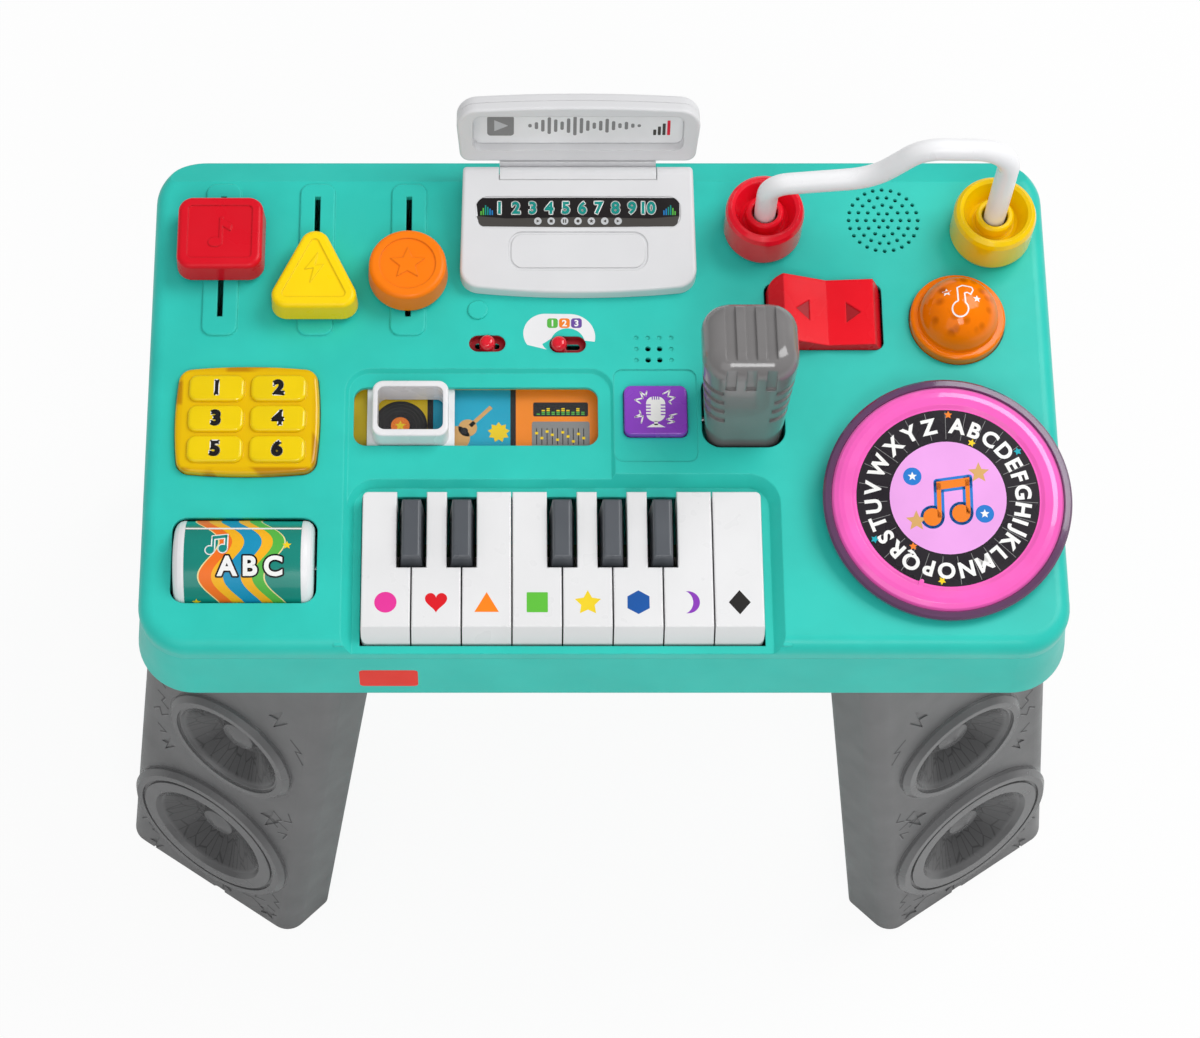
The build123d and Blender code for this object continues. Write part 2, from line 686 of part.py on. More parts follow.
# ------------------------------------------------------------------------------------------
# Bottom shell, legs and battery box
# ------------------------------------------------------------------------------------------

def skirt(inset, z0, z1):
    """Flaring skirt between the seam and the rim."""
    def plan(z):
        spread = -SKIRT_INSET + SKIRT_FLARE * (SEAM_Z - z) / (SEAM_Z - RIM_Z) - inset
        face = RectangleRounded(TABLE_WIDTH + 2 * spread, TABLE_BACK - TABLE_FRONT + 2 * spread,
                                TOP_CORNER_R + spread)
        return Pos(0, (TABLE_BACK + TABLE_FRONT) / 2, z) * face
    return loft([plan(z0), plan(z1)])


def leg_section(z, grow):
    """The leg's cross-section at one height, grown outwards by a margin."""
    share = z / RIM_Z
    corners = (LEG_OUTER, LEG_TOE, LEG_INNER, LEG_HEEL)
    rounded = outline(*corners)
    for (x, y), radius in zip(corners, LEG_RADII):
        rounded = fillet(rounded.vertices().sort_by_distance((x, y, 0))[0], radius)
    if grow:
        rounded = offset(rounded, grow)
    return Pos(LEG_LEAN[0] * share, LEG_LEAN[1] * share, z) * rounded


def leg_column(z0, z1, grow):
    return loft([leg_section(z0, grow), leg_section(z1, grow)])


def speaker_plane(along, up):
    """Plane on the leg's outer face, Z outwards."""
    toe = Vector(*LEG_TOE, 0)
    outer = Vector(*LEG_OUTER, 0)
    side = (toe - outer).normalized()
    rise = Vector(*LEG_LEAN, RIM_Z).normalized()
    normal = side.cross(rise).normalized()
    middle = (toe + outer) / 2 + side * along + rise * up
    return Plane(origin=middle, x_dir=side, z_dir=normal)


def speaker_relief(along, up, ring, cone):
    """Raised ring and sunk cone of one moulded loudspeaker, as solids to add, keep and cut."""
    place = speaker_plane(along, up).location
    lip = 3.0
    ring_outline = ((0, -14), (ring, -14), (ring, SPEAKER_BULGE - lip), (ring - lip, SPEAKER_BULGE),
                    (cone + lip, SPEAKER_BULGE), (0, SPEAKER_BULGE))
    keep = place * turned(((0, -SPEAKER_DEPTH - WALL), (cone + WALL, -SPEAKER_DEPTH - WALL),
                           (cone + WALL, 0), (0, 0)))
    cut_outline = ((0, SPEAKER_BULGE + 1), (cone + lip, SPEAKER_BULGE + 1), (cone, SPEAKER_BULGE - lip),
                   (cone * 0.55, -SPEAKER_DEPTH), (SPEAKER_CAP_R, -SPEAKER_DEPTH),
                   (SPEAKER_CAP_R * 0.8, -SPEAKER_DEPTH + 4.5), (0, -SPEAKER_DEPTH + 6.5))
    groove = ring - 9.0
    groove_outline = ((groove, SPEAKER_BULGE - 1.5), (groove + 2.0, SPEAKER_BULGE - 1.5),
                      (groove + 2.0, SPEAKER_BULGE + 1), (groove, SPEAKER_BULGE + 1))
    return place * turned(ring_outline), keep, place * (turned(cut_outline) + turned(groove_outline))


def leg_emblems():
    """Shallow bolts, notes and a star pressed into the outer face."""
    shapes = [(bolt(size), along, up) for size, along, up in LEG_BOLTS]
    shapes += [(note(size), along, up) for size, along, up in LEG_NOTES]
    shapes += [(star(size), along, up) for size, along, up in LEG_STARS]
    marks = Part()
    for shape, along, up in shapes:
        place = speaker_plane(along, up).location
        marks += place * Pos(0, 0, -RELIEF) * extrude(shape, 12.0)
    return marks


def left_front_leg():
    outside = leg_column(0, LEG_TOP_Z, 0)
    inside = leg_column(WALL, LEG_TOP_Z + 0.01, -WALL)
    body = outside - leg_emblems()
    hollow = inside
    cuts = Part()
    for size in (LOW_SPEAKER, HIGH_SPEAKER):
        ring, keep, cut = speaker_relief(*size)
        body += ring - bar(-BIG, BIG, -BIG, BIG, -BIG, 0)
        hollow -= keep
        cuts += cut
    body -= hollow
    return body - cuts - bar(-BIG, BIG, -BIG, BIG, -BIG, 0)


def four_legs(left_front):
    """Mirror one leg's solid to all four corners."""
    left_back = mirror(left_front, Plane.XZ)
    return {"leg_front_left": left_front, "leg_front_right": mirror(left_front, Plane.YZ),
            "leg_back_left": left_back, "leg_back_right": mirror(left_back, Plane.YZ)}


def battery_size():
    """Inner length and width of the battery box."""
    return CELL_LENGTH + 2 * BOX_CLEAR, (CELL_COUNT - 1) * CELL_PITCH + 2 * CELL_R + 2 * BOX_CLEAR


def door_screw_at():
    return BATTERY_AT[0], BATTERY_AT[1] - battery_size()[1] / 2 - 4.5


def bottom_shell():
    floor_top = RIM_Z + WALL
    shell = skirt(0, RIM_Z, SEAM_Z) - skirt(WALL, floor_top, SEAM_Z + 0.01)
    socket = leg_column(RIM_Z, LEG_TOP_Z + LEG_FIT + 2, LEG_FIT + 2)
    bore = leg_column(RIM_Z - 0.01, LEG_TOP_Z + LEG_FIT, LEG_FIT)
    for solid in four_legs(socket).values():
        shell += solid
    for solid in four_legs(bore).values():
        shell -= solid
    length, width = battery_size()
    x, y = BATTERY_AT
    shell += block(length + 2 * WALL, width + 2 * WALL, RIM_Z, floor_top + BOX_HEIGHT + WALL, 3, BATTERY_AT)
    screw_at = door_screw_at()
    shell += post(BOSS_R, RIM_Z + DOOR_SEAT, BOSS_TOP_Z, screw_at)
    shell -= block(length, width, RIM_Z - 1, floor_top + BOX_HEIGHT, 1, BATTERY_AT)
    rebate = 2 * (DOOR_LIP + EDGE_GAP)
    shell -= block(length + rebate, width + rebate, RIM_Z - 1, RIM_Z + DOOR_SEAT, DOOR_CORNER_R, BATTERY_AT)
    shell -= post(DOOR_SCREW_R + FIT, RIM_Z - 1, BOSS_TOP_Z - 1, screw_at)
    for at in SCREW_PLACES:
        shell += post(BOSS_R, RIM_Z, BOSS_TOP_Z, at)
        shell -= post(SCREW_HEAD_R + 0.2, RIM_Z - 1, BOSS_TOP_Z - BOSS_FLOOR, at)
        shell -= post(SCREW_R + 0.1, RIM_Z, BOSS_TOP_Z + 1, at)
    for x_side in (-1, 1):
        for y_side in (-1, 1):
            x_post = x_board() + x_side * (BOARD_WIDTH / 2 - BOARD_POST_INSET)
            y_post = BOARD_Y + y_side * (BOARD_DEPTH / 2 - BOARD_POST_EDGE)
            shell += post(BOARD_POST_R, RIM_Z + 1, BOARD_Z, (x_post, y_post))
    return shell


def battery_door():
    length, width = battery_size()
    plate = block(length + 2 * DOOR_LIP, width + 2 * DOOR_LIP, RIM_Z - DOOR_PROUD, RIM_Z + DOOR_SEAT,
                  DOOR_CORNER_R, BATTERY_AT)
    tongue = block(length - 0.6, width - 0.6, RIM_Z + 1.0, RIM_Z + WALL, 1, BATTERY_AT)
    return plate + tongue - post(DOOR_SCREW_R + 0.1, RIM_Z - 2, RIM_Z + 5, door_screw_at())


def screw(at, head_low, head_radius, radius, length):
    """Pan head screw pointing up, with a cross recess."""
    head = post(head_radius, head_low, head_low + SCREW_HEAD, at)
    thin, long = SCREW_CROSS
    cross = block(thin, long, head_low - 1, head_low + 1.0, 0, at)
    cross += block(long, thin, head_low - 1, head_low + 1.0, 0, at)
    return head + post(radius, head_low + SCREW_HEAD, head_low + SCREW_HEAD + length, at) - cross


def door_screw():
    head_low = RIM_Z - DOOR_PROUD - SCREW_HEAD
    return screw(door_screw_at(), head_low, SCREW_HEAD_R, DOOR_SCREW_R - 0.02, DOOR_SCREW_LENGTH)


def batteries():
    cells = Part()
    for index in range(CELL_COUNT):
        y = BATTERY_AT[1] + (index - (CELL_COUNT - 1) / 2) * CELL_PITCH
        z = RIM_Z + WALL + REST_GAP + CELL_R
        x0 = BATTERY_AT[0] - CELL_LENGTH / 2
        cells += rod_x(CELL_R, x0, x0 + CELL_LENGTH - CELL_TIP, y, z)
        cells += rod_x(CELL_TIP_R, x0 + CELL_LENGTH - CELL_TIP, x0 + CELL_LENGTH, y, z)
    return cells


# ------------------------------------------------------------------------------------------
# Keyboard
# ------------------------------------------------------------------------------------------

def x_board():
    edges = key_edges()
    return (edges[0] + edges[-1]) / 2


def circuit_board():
    board = block(BOARD_WIDTH, BOARD_DEPTH, BOARD_Z, BOARD_Z + BOARD_THICK, 2, (x_board(), BOARD_Y))
    for offset_x in CHIP_PLACES:
        board += block(CHIP, CHIP * 0.7, BOARD_Z - 2, BOARD_Z + 0.1, 0, (x_board() + offset_x, BOARD_Y))
    return board


def key_membrane():
    """Rubber sheet with one dome under each key's plunger."""
    top = BOARD_Z + BOARD_THICK
    sheet = block(BOARD_WIDTH - 4, BOARD_DEPTH - 16, top, top + MEMBRANE_THICK, 2, (x_board(), BOARD_Y))
    for x in white_key_middles() + black_key_middles():
        dome = turned(((0, 0), (DOME_R, 0), (DOME_R * 0.7, DOME_Z - top), (0, DOME_Z - top)))
        sheet += Pos(x, post_y(x), top) * dome
    return sheet


def white_key_middles():
    edges = key_edges()
    return [(edges[index] + edges[index + 1]) / 2 for index in range(KEY_COUNT)]


def black_after():
    """Counts of the white keys to the left of each black key."""
    return [OCTAVE[:place].count("W") for place, kind in enumerate(OCTAVE) if kind == "B"]


def black_key_middles():
    return [key_edges()[count] for count in black_after()]


def post_y(x):
    """Plungers of the white keys stand further forward than those of the black ones."""
    return KEY_POST_Y if x in white_key_middles() else KEY_POST_Y + 18.0


def key_arm(x, width, reach):
    """Rear arm with the eye that turns on the axle."""
    eye = rod_x(KEY_ARM_R, x - width / 2, x + width / 2, KEY_AXLE_Y, KEY_AXLE_Z)
    arm = bar(x - width / 2, x + width / 2, reach, KEY_AXLE_Y, KEY_AXLE_Z - KEY_ARM_R, KEY_AXLE_Z + 3.0)
    bore = rod_x(AXLE_R + FIT, x - width, x + width, KEY_AXLE_Y, KEY_AXLE_Z)
    return eye + arm, bore


def white_plan(index, inset):
    """Plan of a white key with its notches beside the black keys."""
    edges = key_edges()
    left = edges[index] + KEY_GAP / 2 + inset
    right = edges[index + 1] - KEY_GAP / 2 - inset
    plan = Pos((left + right) / 2, (KEY_BACK + KEY_FRONT) / 2) * Rectangle(
        right - left, KEY_BACK - KEY_FRONT - 2 * inset)
    notch_front = NOTCH_FRONT - inset
    notch_length = KEY_BACK - notch_front + 10
    for edge in (index, index + 1):
        if edge in black_after():
            plan -= Pos(edges[edge], notch_front + notch_length / 2) * Rectangle(
                2 * (BLACK_NOTCH + inset), notch_length)
    return plan


def white_key(index):
    body = Pos(0, 0, KEY_BOTTOM_Z) * extrude(white_plan(index, 0), KEY_TOP_Z - KEY_BOTTOM_Z)
    nose = KEY_FRONT + KEY_NOSE
    slant = outline((KEY_FRONT - 1, KEY_TOP_Z - KEY_NOSE_DROP), (KEY_FRONT, KEY_TOP_Z - KEY_NOSE_DROP),
                    (nose, KEY_TOP_Z), (nose, KEY_TOP_Z + 1), (KEY_FRONT - 1, KEY_TOP_Z + 1))
    body -= prism_x(slant, -BIG, BIG)
    if index in (0, KEY_COUNT - 1):
        side = body.edges().filter_by(Axis.Z).group_by(Axis.X)[0 if index == 0 else -1]
        body = fillet(side, KEY_CORNER_R - 1.0)
    body = fillet(top_edges(body), 0.8)
    depth = KEY_TOP_Z - KEY_BOTTOM_Z + 1 - KEY_SKIN
    hollow = Pos(0, 0, KEY_BOTTOM_Z - 1) * extrude(white_plan(index, KEY_SKIN), depth)
    front_cut = bar(-BIG, BIG, KEY_FRONT - 1, nose + KEY_SKIN, KEY_BOTTOM_Z - 2, KEY_TOP_Z)
    body -= hollow - front_cut
    x = white_key_middles()[index]
    arm, bore = key_arm(x, KEY_ARM_WHITE, KEY_BACK - 4.0)
    plunger = post(KEY_POST_R, KEY_POST_Z, KEY_TOP_Z - KEY_SKIN / 2, (x, KEY_POST_Y))
    return body + arm + plunger - bore


def black_key(number):
    x = black_key_middles()[number]
    length = BLACK_BACK - BLACK_FRONT
    middle = Pos(x, (BLACK_BACK + BLACK_FRONT) / 2)
    plan = middle * RectangleRounded(BLACK_WIDTH, length, 2.0)
    body = Pos(0, 0, KEY_BOTTOM_Z) * extrude(plan, BLACK_TOP_Z - KEY_BOTTOM_Z, taper=BLACK_LEAN)
    body = fillet(top_edges(body), 1.6)
    inner = middle * Rectangle(BLACK_WIDTH - 2 * KEY_SKIN, length - 2 * KEY_SKIN)
    body -= Pos(0, 0, KEY_BOTTOM_Z - 1) * extrude(inner, BLACK_TOP_Z - KEY_BOTTOM_Z - 1.5, taper=BLACK_LEAN)
    arm, bore = key_arm(x, KEY_ARM_BLACK, BLACK_BACK - 3.0)
    plunger = post(KEY_POST_R, KEY_POST_Z, BLACK_TOP_Z - 1, (x, post_y(x)))
    return body + arm + plunger - bore


def key_axle():
    edges = key_edges()
    reach = EDGE_GAP + 1.0 + BRACKET
    return rod_x(AXLE_R, edges[0] - reach, edges[-1] + reach, KEY_AXLE_Y, KEY_AXLE_Z)


# ------------------------------------------------------------------------------------------
# Sliders
# ------------------------------------------------------------------------------------------

def knob_plan(kind):
    if kind == "square":
        return RectangleRounded(*SQUARE_KNOB, 9)
    if kind == "round":
        return Circle(ROUND_KNOB_R)
    width, height = TRIANGLE_KNOB
    corner = 9.0
    face = outline((-width / 2 - 6, -height / 2), (width / 2 + 6, -height / 2), (0, height / 2 + 11))
    return fillet(face.vertices(), corner)


def knob_emblem(kind):
    return {"square": note(20), "triangle": bolt(19), "round": star(10)}[kind]


def slider_knob(kind, x, y):
    plan = knob_plan(kind)
    body = Pos(0, 0, KNOB_Z) * extrude(plan, KNOB_TOP_Z - KNOB_Z, taper=3)
    body = fillet(top_edges(body), KNOB_EDGE_R)
    body -= Pos(0, 0, KNOB_TOP_Z - RELIEF) * extrude(offset(plan, -6.5), 5)
    body += Pos(0, 0, KNOB_TOP_Z - RELIEF - 0.5) * extrude(knob_emblem(kind), RELIEF + 0.3)
    body -= Pos(0, 0, KNOB_Z - 1) * extrude(offset(plan, -5.0), KNOB_TOP_Z - KNOB_Z - 3.0)
    foot = block(SHANK_WIDTH, SHANK_LENGTH, DECK_Z + TRACK_RISE + REST_GAP, KNOB_TOP_Z - 3, 2)
    clip_low = UNDER_Z - REST_GAP - CLIP_THICK
    stem = block(STEM_WIDTH, STEM_LENGTH, clip_low - 1.5, KNOB_Z, 0)
    return Pos(x, y, 0) * (body + foot + stem)


def slider_clip(x, y):
    """Plate pushed on the stem from below; it keeps the knob in its slot."""
    high = UNDER_Z - REST_GAP
    plate = block(CLIP_WIDTH, CLIP_LENGTH, high - CLIP_THICK, high, 1.5)
    return Pos(x, y, 0) * (plate - block(STEM_WIDTH + 0.1, STEM_LENGTH + 0.1, high - 5, high + 5, 0))


# ------------------------------------------------------------------------------------------
# Laptop
# ------------------------------------------------------------------------------------------

def laptop_plan(inset, back):
    """Plan of the laptop's base: bowed front edge, straight back."""
    half = LAPTOP_WIDTH / 2 - inset
    front = LAPTOP_FRONT + LAPTOP_BOW + inset
    edges = (ThreePointArc((-half, front), (0, front - LAPTOP_BOW), (half, front)),
             Line((half, front), (half - 2, back)), Line((half - 2, back), (-half + 2, back)),
             Line((-half + 2, back), (-half, front)))
    face = make_face(Curve() + edges)
    front_corners = face.vertices().group_by(Axis.Y)[0]
    return fillet(front_corners, LAPTOP_CORNER_R - inset)


def slope_at(y):
    """Height of the laptop's sloping top."""
    slope = math.radians(LAPTOP_SLOPE)
    crest_y = LID_AXIS_Y - LID_KNUCKLE_R * math.sin(slope)
    crest_z = LID_AXIS_Z + LID_KNUCKLE_R * math.cos(slope)
    return crest_z - (crest_y - y) * math.tan(slope)


def slope_patch(size, y, height, radius):
    """Slab lying on the laptop's slope, half above and half below it."""
    slab = extrude(RectangleRounded(size[0], size[1], radius), height / 2, both=True)
    return Pos(LAPTOP_X, y, slope_at(y)) * Rot(LAPTOP_SLOPE, 0, 0) * slab


def laptop_base():
    back = LID_AXIS_Y + LID_KNUCKLE_R
    body = Pos(LAPTOP_X, 0, DECK_Z) * extrude(laptop_plan(0, back), 40)
    low = DECK_Z - 1
    front = LAPTOP_FRONT - 5
    crest = LID_AXIS_Y - LID_KNUCKLE_R * math.sin(math.radians(LAPTOP_SLOPE))
    side = outline((front, low), (front, slope_at(front)), (crest, slope_at(crest)),
                   (LID_AXIS_Y, LID_AXIS_Z), (LID_AXIS_Y, low))
    rear = outline((LID_AXIS_Y - 1, low), (LID_AXIS_Y - 1, LID_AXIS_Z), (back, LID_AXIS_Z), (back, low))
    hull = prism_x(side, -BIG, BIG) + prism_x(rear, -BIG, BIG)
    hull += rod_x(LID_KNUCKLE_R, -BIG, BIG, LID_AXIS_Y, LID_AXIS_Z)
    body = body & hull
    top = body.faces().filter_by(GeomType.PLANE).filter_by(lambda face: face.normal_at().Z > 0.9)[0]
    rim = [edge for edge in top.edges() if edge.center().Y < LID_AXIS_Y - LID_KNUCKLE_R]
    body = fillet(rim, LAPTOP_EDGE_R)
    cavity = Pos(LAPTOP_X, 0, DECK_Z - 1) * extrude(laptop_plan(WALL, LID_AXIS_Y - 14), 40)
    body -= cavity & (Pos(0, 0, -WALL * 1.2) * prism_x(side, -BIG, BIG))
    body -= slope_patch(NUMBER_STRIP, NUMBER_STRIP_Y, 2 * NUMBER_STRIP[2], 7)
    body -= slope_patch(TOUCHPAD, TOUCHPAD_Y, 2 * TOUCHPAD[2], 8) - slope_patch(
        (TOUCHPAD[0] - 3, TOUCHPAD[1] - 3), TOUCHPAD_Y, 4 * TOUCHPAD[2], 6.5)
    left = LAPTOP_X - TONGUE_WIDTH / 2 - EDGE_GAP
    right = LAPTOP_X + TONGUE_WIDTH / 2 + EDGE_GAP
    reach = LID_KNUCKLE_R + EDGE_GAP
    body -= rod_x(reach, left, right, LID_AXIS_Y, LID_AXIS_Z)
    body -= bar(left, right, LID_AXIS_Y, back + 10, LID_AXIS_Z - reach, LID_AXIS_Z + 30)
    end = PIN_LENGTH / 2 + 0.2
    return body - rod_x(PIN_R + FIT, LAPTOP_X - end, LAPTOP_X + end, LID_AXIS_Y, LID_AXIS_Z)


def hinge_pin():
    return rod_x(PIN_R, LAPTOP_X - PIN_LENGTH / 2, LAPTOP_X + PIN_LENGTH / 2, LID_AXIS_Y, LID_AXIS_Z)


def lid_frame_place():
    """Frame of the open lid: X across, Y up the lid, Z out of the screen, origin on the pin."""
    lean = math.radians(LID_LEAN)
    return Plane(origin=(LAPTOP_X, LID_AXIS_Y, LID_AXIS_Z), x_dir=(1, 0, 0),
                 z_dir=(0, -math.cos(lean), math.sin(lean))).location


def lid_outline(inset):
    """Lid outline with a slightly crowned top edge."""
    half = LID_WIDTH / 2 - inset
    low = LID_LOW + inset
    high = LID_HIGH - inset - LID_CROWN
    edges = (Line((-half + 3, low), (half - 3, low)), Line((half - 3, low), (half, high)),
             ThreePointArc((half, high), (0, high + LID_CROWN), (-half, high)),
             Line((-half, high), (-half + 3, low)))
    face = make_face(Curve() + edges)
    upper = face.vertices().group_by(Axis.Y)[-1]
    face = fillet(upper, LID_CORNER_R - inset)
    lower = [vertex for vertex in face.vertices() if vertex.Y < LID_LOW + inset + 0.1]
    return fillet(lower, 6.0)


def screen_opening(inset):
    height = SCREEN_HIGH - SCREEN_LOW - 2 * inset
    return Pos(0, (SCREEN_HIGH + SCREEN_LOW) / 2) * RectangleRounded(SCREEN_WIDTH - 2 * inset, height, 5)


def card_back():
    """Where the rear of the picture card lies in the lid's frame."""
    return -LID_FACE - LID_BEZEL_THICK - 0.2 - SCREEN_THICK


def lid_bezel():
    """Front frame of the lid round the screen."""
    low = -LID_FACE - LID_BEZEL_THICK
    body = Pos(0, 0, low) * extrude(lid_outline(0), LID_BEZEL_THICK)
    body = fillet(body.faces().sort_by(Axis.Z)[-1].edges(), 1.5)
    body -= Pos(0, 0, low - 1) * extrude(screen_opening(0), LID_BEZEL_THICK + 5)
    return lid_frame_place() * body


def lid_back():
    """Rear shell of the lid with the knuckle that turns on the hinge pin."""
    high = -LID_FACE - LID_BEZEL_THICK - 0.1
    low = -LID_FACE - LID_THICK
    shell = Pos(0, 0, low) * extrude(lid_outline(0), high - low)
    shell = fillet(shell.faces().sort_by(Axis.Z)[0].edges(), 4.0)
    shell -= Pos(0, 0, low + WALL) * extrude(lid_outline(LID_SKIN), high - low)
    for x in (-SCREEN_WIDTH / 3, SCREEN_WIDTH / 3):
        shell += bar(x - 1, x + 1, SCREEN_LOW, SCREEN_HIGH, low + 1, card_back() - 0.1)
    half = TONGUE_WIDTH / 2
    knuckle = rod_x(LID_KNUCKLE_R, -half, half, 0, 0)
    under_bezel = LID_LOW - EDGE_GAP
    web = outline((-LID_KNUCKLE_R + 1.2, -3.6), (1.5, -LID_FACE), (under_bezel, -LID_FACE),
                  (under_bezel, high), (LID_LOW + WALL, high), (LID_LOW + WALL, low + WALL), (2.0, low + 5.5))
    shell += knuckle + prism_x(web, -half, half)
    shell -= rod_x(PIN_R + FIT, -half - 1, half + 1, 0, 0)
    return lid_frame_place() * shell


def lid_screen():
    """Picture card held between the bezel and the ribs of the back shell."""
    card = Pos(0, 0, card_back()) * extrude(screen_opening(-0.8), SCREEN_THICK)
    return lid_frame_place() * card


# ------------------------------------------------------------------------------------------
# Buttons, switches, drum, viewer, microphone, rocker and dome
# ------------------------------------------------------------------------------------------

def switch_knob(x, y):
    low = SWITCH_FLOOR_Z + REST_GAP
    cap = post(SWITCH_KNOB_R, low, SWITCH_TOP_Z, (x, y))
    cap = fillet(top_edges(cap), 3.2)
    under = SWITCH_FLOOR_Z - SWITCH_FLOOR - REST_GAP
    stem = post(SWITCH_STEM_R, under - 1, low + 1, (x, y))
    foot = post(SWITCH_FOOT_R, under - 1.6, under, (x, y))
    return cap + stem + foot


def blanking_plug():
    disc = post(PLUG_R, DECK_Z, DECK_Z + 1.3, PLUG_AT)
    disc = fillet(top_edges(disc), 0.8)
    return disc + post(PLUG_R - 1.5 - FIT, UNDER_Z - 1, DECK_Z + 0.5, PLUG_AT)


def number_panel():
    plan = panel_plan(0)
    low = UNDER_Z - REST_GAP - FLANGE_THICK
    body = Pos(0, 0, low) * extrude(plan, PANEL_TOP_Z - low)
    body = fillet(top_edges(body), 2.4)
    for column in (-0.5, 0.5):
        for row in (-1, 0, 1):
            pad = block(*PAD_SIZE, PANEL_TOP_Z - 1, PANEL_TOP_Z + PAD_RISE, 5,
                        (column * PAD_PITCH[0], row * PAD_PITCH[1]))
            body += fillet(top_edges(pad), 2.0)
    body += Pos(0, 0, low) * extrude(panel_plan(FLANGE), FLANGE_THICK)
    body -= Pos(0, 0, low - 1) * extrude(panel_plan(-PANEL_SKIN), PANEL_TOP_Z - low + 1 - PANEL_SKIN)
    return Pos(PANEL_AT[0], PANEL_AT[1], 0) * body


def mic_button():
    low = UNDER_Z - REST_GAP - FLANGE_THICK
    body = block(*MIC_BUTTON, low, MIC_BUTTON_Z, MIC_BUTTON_R)
    body = fillet(top_edges(body), 1.0)
    length, width = MIC_BUTTON
    body += block(length + 2 * FLANGE, width + 2 * FLANGE, low, low + FLANGE_THICK, MIC_BUTTON_R)
    hollow = 2 * MIC_BUTTON_SKIN
    body -= block(length - hollow, width - hollow, low - 1, MIC_BUTTON_Z - PANEL_SKIN, 2)
    return Pos(MIC_BUTTON_AT[0], MIC_BUTTON_AT[1], 0) * body


def drum_turned(points):
    """Turn an outline about the drum's axle and lay it along X."""
    return Pos(DRUM_AT[0], DRUM_AT[1], DRUM_AXLE_Z) * Rot(0, 90, 0) * turned(points)


def drum_barrel():
    half = DRUM_LABEL_WIDTH / 2
    inner = DRUM_R - DRUM_SKIN
    return drum_turned(((inner, -half), (DRUM_R, -half), (DRUM_R, half), (inner, half)))


def drum_end_caps():
    """Two white caps that close the barrel and turn on the axle."""
    inner = DRUM_LABEL_WIDTH / 2
    outer = inner + DRUM_CAP_WIDTH
    spigot = DRUM_R - DRUM_SKIN - FIT
    profile = ((AXLE_R + FIT, inner - 6), (DRUM_HUB_R, inner - 6), (DRUM_HUB_R, inner - 1),
               (spigot - 2, inner - 1), (spigot - 2, inner - 4), (spigot, inner - 4), (spigot, inner),
               (DRUM_R, inner), (DRUM_R, inner + 1.5))
    for step in range(1, 5):
        angle = step * math.pi / 8
        profile += ((DRUM_R - DRUM_CAP_R * (1 - math.cos(angle)),
                     inner + 1.5 + (DRUM_CAP_WIDTH - 1.5) * math.sin(angle)),)
    profile += ((AXLE_R + FIT, outer),)
    right = drum_turned(profile)
    left = drum_turned([(radius, -along) for radius, along in profile])
    return left + right


def drum_axle():
    half = DRUM_WINDOW[0] / 2 + BRACKET
    return rod_x(AXLE_R, DRUM_AT[0] - half, DRUM_AT[0] + half, DRUM_AT[1], DRUM_AXLE_Z)


def tray_top():
    return DECK_Z - BAY_PICTURE_DEPTH - WALL


def picture_tray():
    """Shallow tray under the window; the picture is printed on its floor."""
    top = tray_top()
    size = (WINDOW_SIZE[0] + 2 * TRAY_MARGIN, WINDOW_SIZE[1] + 2 * TRAY_MARGIN)
    tray = block(*size, top - TRAY_DEPTH, top, 4, WINDOW_AT)
    return tray - block(size[0] - 5, size[1] - 5, top - TRAY_POCKET, top + 5, 2, WINDOW_AT)


def window_lens():
    low = tray_top() - TRAY_POCKET + REST_GAP
    size = (WINDOW_SIZE[0] + 2 * TRAY_MARGIN - 5.4, WINDOW_SIZE[1] + 2 * TRAY_MARGIN - 5.4)
    return block(*size, low, low + LENS_THICK, 1.5, WINDOW_AT)


def window_slider():
    """White viewer: a thin plate under the deck and a raised frame that the child pushes."""
    x = WINDOW_AT[0] + VIEWER_REST
    y = WINDOW_AT[1]
    low = tray_top() - TRAY_POCKET + REST_GAP + LENS_THICK + REST_GAP
    plate = block(*VIEWER_PLATE, low, tray_top() - REST_GAP, 1, (x, y))
    frame = block(*VIEWER_SIZE, low, VIEWER_TOP_Z, VIEWER_R, (x, y))
    frame = fillet(top_edges(frame), 1.2)
    return plate + frame - block(*VIEWER_HOLE, low - 1, VIEWER_TOP_Z + 1, 4, (x, y))


def mic_half(z, along):
    """Half width (0) or half depth (1) of the microphone at a height over its axle."""
    return MIC_FOOT[along] / 2 + (z + MIC_FOOT_DROP) * math.tan(math.radians(MIC_FLARE))


def mic_grooves():
    """Three grooves over the head and four round each side."""
    width, depth, drop = MIC_GROOVE
    grooves = Part()
    deep = mic_half(MIC_HEIGHT, 1)
    for index in (-1, 0, 1):
        left = index * MIC_GROOVE_PITCH - width / 2
        right = left + width
        grooves += bar(left, right, -deep - 1, deep + 1, MIC_HEIGHT - depth, MIC_HEIGHT + 1)
        for side in (-1, 1):
            low = side * (deep + 1)
            high = side * (mic_half(MIC_HEIGHT - drop, 1) - 1.4)
            grooves += bar(left, right, min(low, high), max(low, high), MIC_HEIGHT - drop, MIC_HEIGHT + 1)
    length, height, cut = MIC_RIB
    for index in range(4):
        z = MIC_HEIGHT - MIC_RIB_START - index * MIC_RIB_PITCH
        wide = mic_half(z, 0)
        corner = MIC_FOOT_R + wide - MIC_FOOT[0] / 2 - cut
        core = block(2 * (wide - cut), 2 * (mic_half(z, 1) - cut), z - height, z + height, corner)
        for side in (-1, 1):
            band = block(length, 2 * deep + 4, z - height / 2, z + height / 2, 0, (side * (wide + 2), 0))
            grooves += band - core
    return grooves


